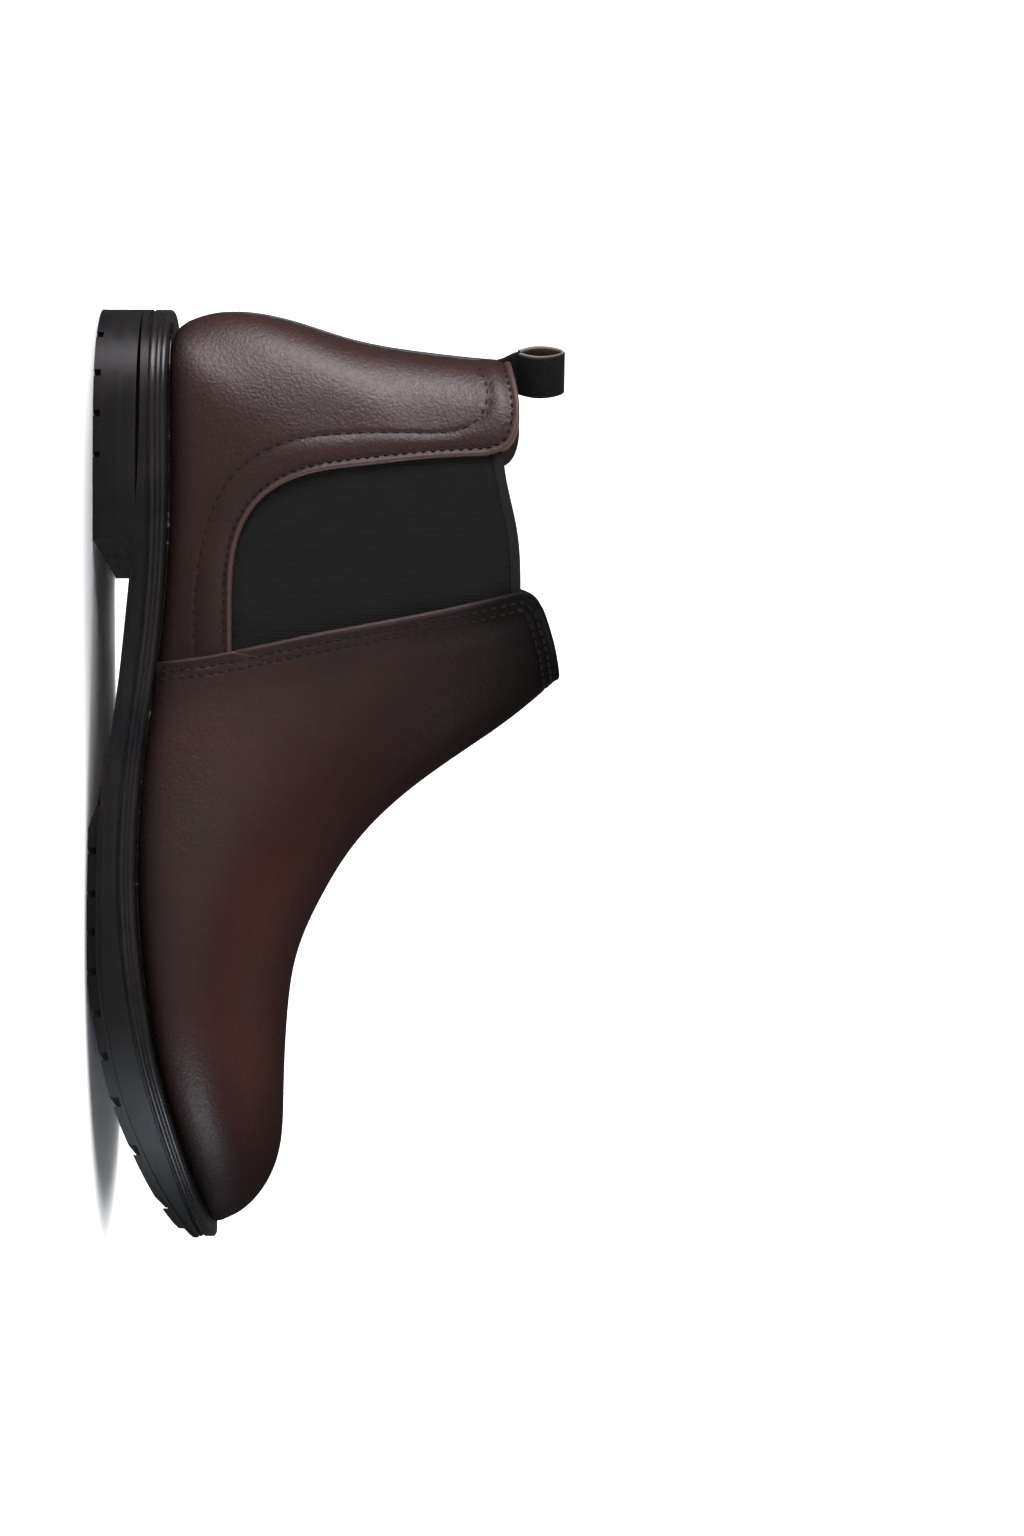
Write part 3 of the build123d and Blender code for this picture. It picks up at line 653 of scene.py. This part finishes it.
# ---------- front panel and its lining
def front_places(coarse_rows, coarse_columns, shaft_columns):
    """(u, t, side) grid of the front panel: rows round the foot, columns from toe to top edge."""
    a = close_to_one(coarse_rows)
    b = close_to_one(shaft_columns)[1:]
    fore = np.linspace(0, 1, coarse_columns)**1.15 * TOE_TO_SHAFT
    forepart = np.stack(np.broadcast_arrays(fore[None, :], a[:, None]), -1)
    shares = np.linspace(0, 1, 300)
    section = np.stack([np.full(300, TOE_TO_SHAFT), shares], -1)
    ridge = np.stack([TOE_TO_SHAFT + shares * (TOP_UT[0, 0] - TOE_TO_SHAFT), 0 * shares], -1)
    shaft = coons(section, TOP_UT, ridge, SEAM_UT, a, b)
    half = np.concatenate([forepart, shaft], 1)
    turned = np.repeat(half[-1:], 7, 0)
    turned[:, :coarse_columns, 1] = 1 + 0.4 * np.arange(1, 8)[:, None] / 7
    half = np.concatenate([half, turned], 0)
    lateral = np.concatenate([half[::-1], np.full((*half.shape[:2], 1), LATERAL)[::-1]], -1)
    medial = np.concatenate([half[1:], np.full((*half[1:].shape[:2], 1), MEDIAL)], -1)
    return np.concatenate([lateral, medial], 0)


def toe_cap(grid, bulge):
    """Columns that close the toe, before the first column of points."""
    ring = grid[:, :1]
    centre = ring.mean(0, keepdims=True)
    columns = []
    for share in (0.0, 0.35, 0.7):
        column = centre + (ring - centre) * share
        column[..., 0] += bulge * (1 - share * share)
        columns.append(column)
    return np.concatenate([*columns, grid], 1)


def front_marks(points, places):
    """Distance of each point from the panel's side edge and from its top edge, and its burnish and painted
    shade.
    """
    x, z = points[..., 0], points[..., 2]
    d_seam, d_top = [np.minimum(*[nearest(points, along_upper(edge, side))[0] for _, side in SIDES])
                     for edge in (SEAM_UT, TOP_UT)]
    height = z - feather(x)
    toe = 0.74 * smooth(84, 134, x)
    base = 0.75 * np.exp(-(height / 5.5)**2)
    seam_dark = 0.30 * np.exp(-(d_seam / 8.5)**2)
    top_dark = 0.9 * np.exp(-(d_top / 20)**2)
    # Darker along the ridge: partly burnish, partly painted shade where the side turns away from the light.
    ridge = (0.88 + 0.1 * smooth(80, 135, z)) * np.exp(-(places[..., 1] / 0.29)**2)
    burnish_and_shade = 1 - (1 - toe) * (1 - base) * (1 - seam_dark) * (1 - top_dark) * (1 - ridge)
    return d_seam, d_top, burnish_and_shade


def front_panel():
    places = front_places(48, 92, 52)
    u, t, side = np.moveaxis(places, -1, 0)
    base = raw(u, t, side)
    # The burnish values include painted shade along the ridge.
    d_seam, d_top, burnish_and_shade = front_marks(base, places)
    d = np.minimum(d_seam, d_top)
    runs = [nearest(base, along_upper(SEAM_UT, way))[1] for _, way in SIDES]
    run = np.where(side < 0, *runs)
    lap = FRONT_LAP * (1 - smooth(7, 15, d_seam))
    pucker = 0.05 * np.cos(2 * np.pi * run / STITCH_PITCH) * np.exp(-((d - 4.5) / 1.9)**2)
    lift = lap * np.sqrt(np.clip(d / 0.9, 0, 1)) + rounded_rim(d, 1.5, 0.28) + pucker
    for row in FRONT_ROWS:
        lift = lift + groove(d, row, 0.26)
    under = -LEATHER + (LEATHER + 0.05) * (1 - smooth(6, 12, d_seam))
    under = under * smooth(0.5, 3, d_top) - 2.6 * (1 - smooth(0.5, 3, d_top)) * (d_seam > 3)
    normals = normal(u, t, side)
    outer = toe_cap(base + normals * lift[..., None], 0.55)
    inner = toe_cap(base + normals * under[..., None], -0.3)
    pad = np.zeros((len(base), 3))
    values = {"burnish_and_shade": np.concatenate([pad + burnish_and_shade[:, :1], burnish_and_shade], 1),
              "rim": np.concatenate([pad, 0.4 * (1 - smooth(0.8, 1.5, d_seam)) * smooth(6, 24, d_top)], 1)}
    piece = shell("front_panel", outer, inner, OUTER, values, toe=True)
    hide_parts("vamp", "vamp_crease", "shaft_front")
    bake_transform(piece)


def lining(name, u, t, side):
    """Lining leather under a part of the upper, not yet placed on a body."""
    base = raw(u, t, side)
    normals = normal(u, t, side)
    piece = shell(name, base - LINING[0] * normals, base - LINING[1] * normals, LINED)
    add_blank(piece)
    return piece


def front_lining():
    toe_columns = 14         # left out: the lining ends behind the toe
    places = front_places(30, 60, 34)[:, toe_columns:]
    piece = lining("front_lining_skin", *np.moveaxis(places, -1, 0))
    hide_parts("vamp_lining", "crease_lining", "front_lining")
    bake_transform(piece)


# ---------- quarters and their lining
def quarter_places(rows, columns):
    """(u, t) grid of a quarter: rows from front edge to topline, columns from the gore down and under."""
    a = close_to_one(rows)
    b = 1 - close_to_one(columns)[::-1]
    shares = np.linspace(0, 1, 600)
    foot = np.stack([FOOT_UT[-1, 0] + shares * (BACK_TOP - FOOT_UT[-1, 0]), 1 + 0 * shares], -1)
    space = raw(foot[:, 0], foot[:, 1], LATERAL)
    along = lengths(space)
    foot[:, 0] = np.interp(shares * along[-1], along, foot[:, 0])
    main = coons(GORE_UT, foot, FOOT_UT, TOPLINE_UT, a, b)
    last = 1.35 + 0.48 * smooth(12.6, 14.2, main[:, -1, 0])
    extra = 1 + (last[:, None] - 1) * np.arange(1, 9)[None] / 8
    turned = np.stack([np.repeat(main[:, -1:, 0], 8, 1), extra], -1)
    return np.concatenate([main, turned], 1)


def quarter_edge(side):
    """Edge of a quarter in space, along the gore and the topline."""
    places = np.concatenate([GORE_UT, TOPLINE_UT[1:], [[BACK_TOP, 1.4], [BACK_TOP, 1.83]]])
    return even(along_upper(places, side), 700)


def within(x, z, outline):
    """Whether side-view places lie inside a closed outline."""
    inside = np.zeros(x.shape, bool)
    for p, q in zip(outline, np.roll(outline, -1, 0)):
        crosses = (p[1] > z) != (q[1] > z)
        with np.errstate(divide="ignore", invalid="ignore"):
            inside ^= crosses & (x < (q[0] - p[0]) * (z - p[1]) / (q[1] - p[1]) + p[0])
    return inside


def quarter_lift(x, z, d, run, d_band):
    """Height over the surface: puffy band, rolled rim, stitch grooves, and a dip under the front panel."""
    below_band = np.concatenate([curve(BAND_STITCH), [(-38, -5), (-190, -5), (-190, 120)]])
    in_band = ~within(x, z, below_band) & (d < 16)
    depth = np.clip(np.minimum(d - QUARTER_ROW, d_band), 0, None)
    puff = np.where(in_band, 0.5 * (1 - np.exp(-(depth / 2.0)**2)), 0.16 * np.exp(-(d_band / 5)**2))
    pucker = 0.07 * np.cos(2 * np.pi * run / STITCH_PITCH) * np.exp(-((d - QUARTER_ROW) / 1.1)**2)
    lift = (0.25 * np.sqrt(np.clip(d / 0.8, 0, 1)) * (1 - smooth(6, 14, d)) + rounded_rim(d, 1.5, 0.5)
            + puff + pucker + groove(d, QUARTER_ROW, 0.24) + groove(d_band, 0, 0.28))
    seam_x = np.interp(z, SEAM_LINE[:, 1], SEAM_LINE[:, 0])
    hidden = smooth(0.2, 2.0, x - seam_x)
    return lift * (1 - hidden) - 0.3 * hidden


def quarter_burnish(x, z, d, d_band):
    low = 0.72 * np.exp(-((z - feather(x)) / 5.0)**2)
    seam_dark = 0.22 * np.exp(-(d / 6.5)**2)
    band_dark = 0.15 * np.exp(-(d_band / 4.2)**2)
    front_dark = 0.35 * smooth(-70, -38, x)
    return 1 - (1 - low) * (1 - seam_dark) * (1 - band_dark) * (1 - front_dark)


def quarter(side_name, side):
    places = quarter_places(52, 62)
    u, t = places[..., 0], places[..., 1]
    base = raw(u, t, side)
    x, z = base[..., 0], base[..., 2]
    d, run = nearest(base, quarter_edge(side))
    d_band = nearest(base, along_upper(on_upper(curve(BAND_STITCH)), side))[0]
    d_top = nearest(base, along_upper(TOPLINE_UT, side))[0]
    lift = quarter_lift(x, z, d, run, d_band)
    under = -1.52 - 1.1 * (1 - smooth(0.5, 3.5, d_top))
    normals = normal(u, t, side)
    values = {"burnish_and_shade": quarter_burnish(x, z, d, d_band), "rim": 0.9 * (1 - smooth(1.1, 1.8, d))}
    piece = shell("quarter_" + side_name + "_skin", base + normals * lift[..., None],
                  base + normals * under[..., None], OUTER, values)
    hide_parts("quarter_" + side_name)
    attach(piece, "boot")


def quarter_lining(side_name, side):
    u, t = np.moveaxis(quarter_places(30, 34), -1, 0)
    piece = lining("quarter_lining_" + side_name, u, np.where(t > 1.7, 2.0, t), side)
    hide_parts("quarter_lining")
    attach(piece, "boot")


def collar_foam(side_name, side):
    """Thin foam between the edge stitching and the decorative line."""
    edge = shifted(curve(GORE_SIDE[2:] + TOPLINE[1:-1], 160), 4.0)
    line = curve(BAND_STITCH[::-1][2:-1], 160)
    share = np.linspace(0.05, 0.92, 12)[None, :, None]
    flat = edge[:, None] * (1 - share) + line[:, None] * share
    places, _ = surface_place(flat.reshape(-1, 2))
    u, t = places.reshape(160, 12, 2)[..., 0], places.reshape(160, 12, 2)[..., 1]
    crown = np.sin(np.pi * np.linspace(0, 1, 12))[None] ** 0.5
    outer = skin(u, t, side, -2.1 + 0.4 * crown)
    inner = skin(u, t, side, -2.15 - 0.4 * crown)
    piece = shell("collar_pad_" + side_name, outer, inner, FOAM)
    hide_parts("collar_foam_" + side_name)
    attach(piece, "boot")


# ---------- gores
def gore_grid(low_share, high_share, rows, columns):
    """(u, t) grid of a gore, from its front to its back and between two shares of its height."""
    top = curve(GORE_TOP)[::-1]
    front = curve([(x + 6.5, z) for x, z in SEAM])
    front = even(front[(front[:, 1] > 39.8) & (front[:, 1] < 134.0)], 400)
    back = curve(GORE_BACK)
    bottom = np.stack([np.linspace(front[0, 0], back[0, 0], 400), np.full(400, 39.8)], -1)
    a = np.linspace(0, 1, columns)
    b = np.linspace(low_share, high_share, rows)
    flat = coons(bottom, top, front, back, a, b)
    places, _ = surface_place(flat.reshape(-1, 2))
    return places.reshape(columns, rows, 2), flat


def gore_piece(name, side, low_share, high_share, rows, node, material, lift):
    places, flat = gore_grid(low_share, high_share, rows, 56)
    u, t = places[..., 0], places[..., 1]
    outer = skin(u, t, side, -CORE[0] + lift)
    inner = skin(u, t, side, -CORE[1] - lift / 3)
    values = {"warp": flat[..., 0] * MM, "weft": flat[..., 1] * MM}
    quads = np.cross(np.diff(outer, axis=0)[:, :-1], np.diff(outer, axis=1)[:-1])
    area = np.sum(np.linalg.norm(quads, axis=2))
    across = max(lengths(outer[:, j])[-1] for j in range(outer.shape[1]))
    along = max(lengths(line)[-1] for line in outer)
    piece = shell(name, outer, inner, material, values)
    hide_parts(node)
    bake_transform(piece)
    return piece, across, along, area


def gore(side_name, side):
    """Elastic web with its woven top edge. Its flat size is its greatest width and height as built,
    stretched, because the size it was cut to isn't known."""
    split = 0.972            # share of the height where the web ends and the woven edge begins
    web, across, along, area = gore_piece("gore_" + side_name + "_web", side, 0.0, split, 76,
                                          "gore_" + side_name, ELASTIC, 0.25)
    tape = gore_piece("gore_" + side_name + "_selvedge", side, split - 0.004, 1.0, 7,
                      "gore_tape_" + side_name, TAPE, 0.4)[0]


# ---------- piping, stitching, loop
def back_piping():
    """Thin piping up the middle of the back, half sunk between the quarters."""
    u = np.linspace(13.75, BACK_TOP - 0.03, 150)
    line = skin(u, 2.0, LATERAL, 0.1 + 0.5 * smooth(13.8, 15.5, u))
    line[:, 1] = (raw(u, 1.999, LATERAL)[:, 1] + raw(u, 1.999, MEDIAL)[:, 1]) / 2
    piece = tube("back_bead", line, 0.95 + 0.3 * smooth(15, BACK_TOP, u), PIPING, sides=14)
    add_blank(piece)
    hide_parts("back_piping")
    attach(piece, "boot")


def stitches(name, lines, pitch=STITCH_PITCH, length=2.25, radius=0.38):
    """Rows of thread, each stitch a short capsule that dips at its ends."""
    rings, sides = 7, 8
    share = np.linspace(-1, 1, rings)
    dip = (0.12 - 0.42 * share**4)[:, None]
    width = radius * np.sqrt(np.clip(1.02 - share**6, 0.05, 1))
    points, faces = [], []
    for line, normals in lines:
        along = lengths(line)
        for centre in np.arange(pitch * 0.6, along[-1] - pitch * 0.5, pitch):
            wanted = centre + share / 2 * length
            spine = sample(line, along, wanted)
            up = unit(sample(normals, along, wanted))
            across = np.cross(unit(np.gradient(spine, axis=0)), up)
            faces.extend(round_faces(sides, rings, len(points) * sides * rings))
            points.append(round_points(spine + up * dip, across, up, width, sides, flat=0.85))
    piece = make(name, np.concatenate(points), faces, THREAD)
    return piece


def row_line(side_view, side, lift, tail=None):
    """Line in space and its normals, for a side-view line on the upper."""
    places = on_upper(side_view)
    places = places[places[:, 1] > RIDGE_GAP]
    if tail is not None:
        places = np.concatenate([places, tail])
    u, t = places[:, 0], places[:, 1]
    return skin(u, t, side, lift), normal(u, t, side)


def front_stitching():
    lines = []
    edge = even(np.concatenate([SEAM_LINE, TOP_LINE[::-1][1:]]), 900)
    for _, side in SIDES:
        for row in FRONT_ROWS:
            line = shifted(edge, -row)
            line = line[line[:, 1] > feather(line[:, 0]) + 1.5]
            lines.append(row_line(line, side, FRONT_LAP - 0.2))
    piece = stitches("front_stitching", lines)
    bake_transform(piece)


def quarter_stitching():
    lines, band = [], []
    edge = even(np.concatenate([curve(GORE_SIDE), curve(TOPLINE)[1:]]), 900)
    edge = edge[edge[:, 0] < -41]
    line = shifted(edge, QUARTER_ROW)
    for _, side in SIDES:
        last = on_upper(line)[-1, 0]
        tail = np.stack([np.full(8, last), np.linspace(1.05, 1.7, 8)], -1)
        lines.append(row_line(line, side, 0.1, tail))
        band.append(row_line(curve(BAND_STITCH), side, -0.12))
    edge_piece = stitches("quarter_edge_stitching", lines, 2.95, 1.9)
    band_piece = stitches("quarter_band_stitching", band, BAND_PITCH, 2.6, 0.3)
    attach(edge_piece, "boot")
    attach(band_piece, "boot")


def pull_loop():
    """Webbing folded into a teardrop, turned about the upright."""
    root = np.array([-130.0, 0, 132.8])
    width, band, rise, gap = 20.0, 1.2, 15.2, 3.2
    out = gap / 2 + band
    middle = 0.55 * rise
    count = 120
    outer = curve([(-band, 0), (-out, middle), (0, rise), (out, middle), (band, 0)], count)
    inside = [(-0.05, band), (-gap / 2, middle), (0, rise - band), (gap / 2, middle), (0.05, band)]
    inner = curve(inside, count)
    share = np.linspace(-0.5, 0.5, 34)
    over = (share * width)[None, :, None] * LOOP_SIDEWAYS
    face_out, face_in = [root + line[:, None, :1] * LOOP_FORWARD + line[:, None, 1:] * UPRIGHT + over
                         for line in (outer, inner)]
    rounding = 0.32 * np.clip((np.abs(share) - 0.485) / 0.015, 0, 1)
    pulled = rounding[None, :, None] * (face_in - face_out)
    blank = np.zeros(face_out.shape[:2])
    cut = blank + smooth(0.478, 0.497, np.abs(share))
    values = {"warp": blank + share * width * MM, "weft": blank + lengths(outer)[:, None] * MM,
              "inside": (blank, blank + 1), "edge": (0.25 * cut, 0.85 * cut)}
    piece = shell("pull_loop_webbing", face_out + pulled, face_in - pulled, WEBBING, values)
    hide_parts("pull_loop")
    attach(piece, "loop")


def pull_loop_neck():
    """The two ends of the webbing, pressed together, where they come up out of the collar."""
    height, back = 6.4, 0.6
    rise = np.linspace(0, 1, 14)[:, None]
    share = np.linspace(-1, 1, 26)
    across = share * (7.0 + 2.9 * smooth(0, 1, rise))
    base = np.array([-129.4, 0, 126.5]) + rise * np.array([-back, 0, height])
    middle = base[:, None] + across[..., None] * LOOP_SIDEWAYS
    thick = (1.15 * (1 - np.abs(share)**14))[None, :, None] * LOOP_FORWARD
    blank = np.zeros(across.shape)
    piece = shell("pull_loop_neck", middle - thick, middle + thick, WEBBING,
                  {"warp": across * MM, "weft": blank + rise * height * MM, "inside": blank, "edge": blank})
    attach(piece, "boot")


# ---------- sole and inside
def sole_outline(count):
    """Closed plan line of the sole edge and its inward directions."""
    points = np.array(SOLE_EDGE, float)
    looped = np.concatenate([points[-4:], points, points[:4]])
    along = lengths(looped)
    first, last = along[4], along[4 + len(points)]
    line = spline(along, looped)(np.linspace(first, last, count * 4, endpoint=False))
    line = even(np.concatenate([line, line[:1]]), count + 1)[:-1]
    way = np.roll(line, -1, 0) - np.roll(line, 1, 0)
    way /= np.linalg.norm(way, axis=1)[:, None]
    return line, np.stack([-way[:, 1], way[:, 0]], -1)


def welt_height(x):
    """4.8 mm in the middle of the sole, 1.2 mm less at the toe and more at the heel."""
    return 4.8 - 1.2 * x / 150


def welt():
    """Welt swept round the sole: two fine lines in its wall and a rounded top corner."""
    count = 560
    line, inward = sole_outline(count)
    # (distance in from the sole edge, share of the welt's height from its underside)
    corner = [(0.5 + 1.3 * (1 - np.cos(k)), 1 - 0.24 * (1 - np.sin(k)))
              for k in np.linspace(0, np.pi / 2, 7)]
    wall = [(0.85, 0.0), (0.6, 0.035), (0.5, 0.09), (0.5, 0.30), (0.72, 0.335), (0.72, 0.355), (0.5, 0.39),
            (0.5, 0.56), (0.74, 0.60), (0.74, 0.62), (0.5, 0.66)]
    top = [(3.2, 1.0), (3.5, 0.965), (3.8, 1.0), (6.0, 1.0), (9.0, 1.0), (12.0, 0.99)]
    profile = wall + corner + top + [(12.0, 0.5), (12.0, 0.0), (6.0, 0.0)]
    x = line[:, 0]
    rows = [np.c_[line + inward * inset, feather(x) - welt_height(x) * (1 - share)]
            for inset, share in profile]
    grid = np.stack(rows, 0)
    grid = np.concatenate([grid, grid[:, :1]], 1)
    faces = grid_faces(len(profile), count + 1, wrap=True)
    piece = make("welt_strip", grid, faces, WELT_RUBBER)
    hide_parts("welt")
    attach(piece, "boot")


def cement_line():
    """Uneven bead of cement where the upper meets the welt."""
    u = np.linspace(0.02, 14.0, 420)
    lateral = skin(u, 0.955, LATERAL, 0.05)
    medial = skin(u, 0.955, MEDIAL, 0.05)
    line = even(np.concatenate([lateral[::-1], medial]), 900)
    line[:, 2] = feather(line[:, 0]) + 0.25
    place = lengths(line)
    radius = 0.42 + 0.12 * np.sin(place / 3.1) * np.sin(place / 7.7) + 0.06 * np.sin(place / 1.3)
    piece = tube("cement_line", line, radius, CEMENT, sides=8)
    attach(piece, "boot")


def footbed(name, node, material, x_ends, low, high, margin, crown):
    """Padded layer inside the boot, between two heights over the feather line."""
    x = np.linspace(x_ends[0], x_ends[1], 150)
    ends = np.sqrt(np.clip(1 - (2 * (x - x_ends[0]) / (x_ends[1] - x_ends[0]) - 1)**26, 0.02, 1))
    places, _ = surface_place(np.stack([x, feather(x) + high + 0.5], -1))
    left = skin(places[:, 0], places[:, 1], LATERAL, -margin)[:, 1] * ends
    right = skin(places[:, 0], places[:, 1], MEDIAL, -margin)[:, 1] * ends
    share = np.linspace(0, 1, 30)
    y = left[:, None] + (right - left)[:, None] * share[None]
    edge = np.clip(1 - np.abs(2 * share - 1)**10, 0, 1)[None]
    cup = crown * (2 * share - 1)[None]**4
    top = feather(x)[:, None] + low + (high - low) * (0.35 + 0.65 * edge) + cup
    bottom = np.broadcast_to(feather(x)[:, None] + low, y.shape)
    deep = np.broadcast_to(x[:, None], y.shape)
    piece = shell(name, np.stack([deep, y, top], -1), np.stack([deep, y, bottom], -1), material)
    add_blank(piece)
    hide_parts(node)
    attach(piece, "boot")


def finish_cad_nodes():
    """Procedural materials on the CAD nodes that stay."""
    cork = plain_material("cork", (0.30, 0.17, 0.08), (0.50, 0.33, 0.19), 420, 0.85, 0.0003)
    board = plain_material("board", (0.38, 0.27, 0.16), (0.50, 0.38, 0.25), 700, 0.8, stretch=(0.3, 1, 1))
    steel = plain_material("steel", (0.42, 0.42, 0.43), (0.58, 0.58, 0.59), 900, 0.35, 0.00003, 1.0,
                           (0.05, 1, 1))
    stiff = plain_material("stiffener", (0.60, 0.57, 0.50), (0.74, 0.71, 0.64), 800, 0.7)
    tail = plain_material("webbing_tail", (0.007, 0.006, 0.006), (0.018, 0.016, 0.014), 1600, 0.8)
    kept = {"outsole": SOLE_RUBBER, "heel_filler": cork, "forepart_filler": cork, "insole_board": board,
            "shank": steel, "shank_rivets": steel, "toe_puff": stiff, "heel_counter": stiff,
            "pull_loop_tail": tail}
    for name, material in kept.items():
        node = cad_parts[name]
        for place in node.material_slots:
            place.material = material
        if not node.material_slots:
            node.data.materials.append(material)


# ---------- stage
def floor():
    """Pale floor that sweeps up into a wall behind the boot."""
    flat_end, radius, wall_top, half = 1.5, 0.9, 4.0, 2.8
    bends = np.linspace(0, np.pi / 2, 24)
    profile = [(-2.4, 0.0), (flat_end, 0.0)]
    profile += [(flat_end + radius * np.sin(k), radius * (1 - np.cos(k))) for k in bends[1:]]
    profile.append((flat_end + radius, wall_top))
    count = len(profile)
    points = [(x, y, z) for x in (-half, half) for y, z in profile]
    faces = [(i, i + 1, count + i + 1, count + i) for i in range(count - 1)]
    mesh = bpy.data.meshes.new("floor")
    mesh.from_pydata(points, [], faces)
    mesh.shade_smooth()
    piece = bpy.data.objects.new("floor", mesh)
    bpy.context.scene.collection.objects.link(piece)
    piece.visible_glossy = False
    material, _, shader = graph("floor")
    shader.inputs["Base Color"].default_value = (0.90, 0.90, 0.90, 1)
    shader.inputs["Roughness"].default_value = 0.95
    shader.inputs["Specular IOR Level"].default_value = 0.05
    mesh.materials.append(material)


def area_light(name, place, target, size, power, color=(1, 1, 1), reflected=True):
    data = bpy.data.lights.new(name, "AREA")
    data.shape = "RECTANGLE"
    data.size, data.size_y = size
    data.energy = power
    data.color = color
    lamp = bpy.data.objects.new(name, data)
    bpy.context.scene.collection.objects.link(lamp)
    lamp.location = place
    lamp.visible_glossy = reflected
    lamp.rotation_euler = (Vector(target) - Vector(place)).to_track_quat("-Z", "Y").to_euler()


def lights():
    """Soft lamps, and a pale surround that is bright to the camera only and faint as light."""
    world = bpy.data.worlds.new("studio")
    world.use_nodes = True
    background = next(n for n in world.node_tree.nodes if n.type == "BACKGROUND")
    background.inputs["Color"].default_value = (0.94, 0.96, 1, 1)
    seen = add(world.node_tree, "ShaderNodeLightPath").outputs["Is Camera Ray"]
    strength = spread(world.node_tree, seen, 0, 1, 0.07, 1.0)
    world.node_tree.links.new(strength, background.inputs["Strength"])
    bpy.context.scene.world = world
    bpy.context.scene.view_settings.view_transform = "Standard"
    heel, middle, toe = (-0.09, 0, 0.08), (0.0, 0, 0.06), (0.12, 0, 0.04)
    area_light("key", (-0.95, -0.42, 0.26), heel, (0.5, 0.6), 8.5, (1.0, 0.95, 1.0))
    area_light("toe", (1.0, -0.42, 0.20), toe, (0.45, 0.45), 4.0, (0.80, 0.89, 1.0))
    area_light("front", (-0.10, -1.5, 0.55), middle, (0.8, 0.8), 1.3, (1.0, 0.93, 0.90))
    area_light("above", (0.0, 0.35, 1.3), (0.0, 0.25, 0.0), (1.6, 1.2), 21.0, reflected=False)
    area_light("backdrop", (0.0, 1.1, 2.9), (0.0, 2.0, 0.3), (4.0, 1.4), 170.0, reflected=False)


def camera():
    """Looks straight along +Y with the heel at the top of the picture and the sole on its left."""
    data = bpy.data.cameras.new("camera")
    data.lens = 83.7
    data.sensor_width = 36
    place = bpy.data.objects.new("camera", data)
    bpy.context.scene.collection.objects.link(place)
    right, up, back = Vector((0, 0, 1)), Vector((-1, 0, 0)), Vector((0, -1, 0))
    turn = Matrix((right, up, back)).transposed()
    place.matrix_world = Matrix.Translation((-0.0026, -1.15, 0.131)) @ turn.to_4x4()
    bpy.context.scene.camera = place


# ---------- build
front_panel()
front_lining()
for name, side in SIDES:
    quarter(name, side)
    quarter_lining(name, side)
    collar_foam(name, side)
    gore(name, side)
back_piping()
front_stitching()
quarter_stitching()
pull_loop()
pull_loop_neck()
welt()
cement_line()
footbed("sock_sheet", "sock_liner", LINED, (-139.5, 131.0), 6.5, 9.1, 4.1, 0.5)
footbed("heel_cushion", "heel_pad", FOAM, (-134.0, -87.0), 6.5, 7.8, 12.0, 0.0)
finish_cad_nodes()
floor()
lights()
camera()
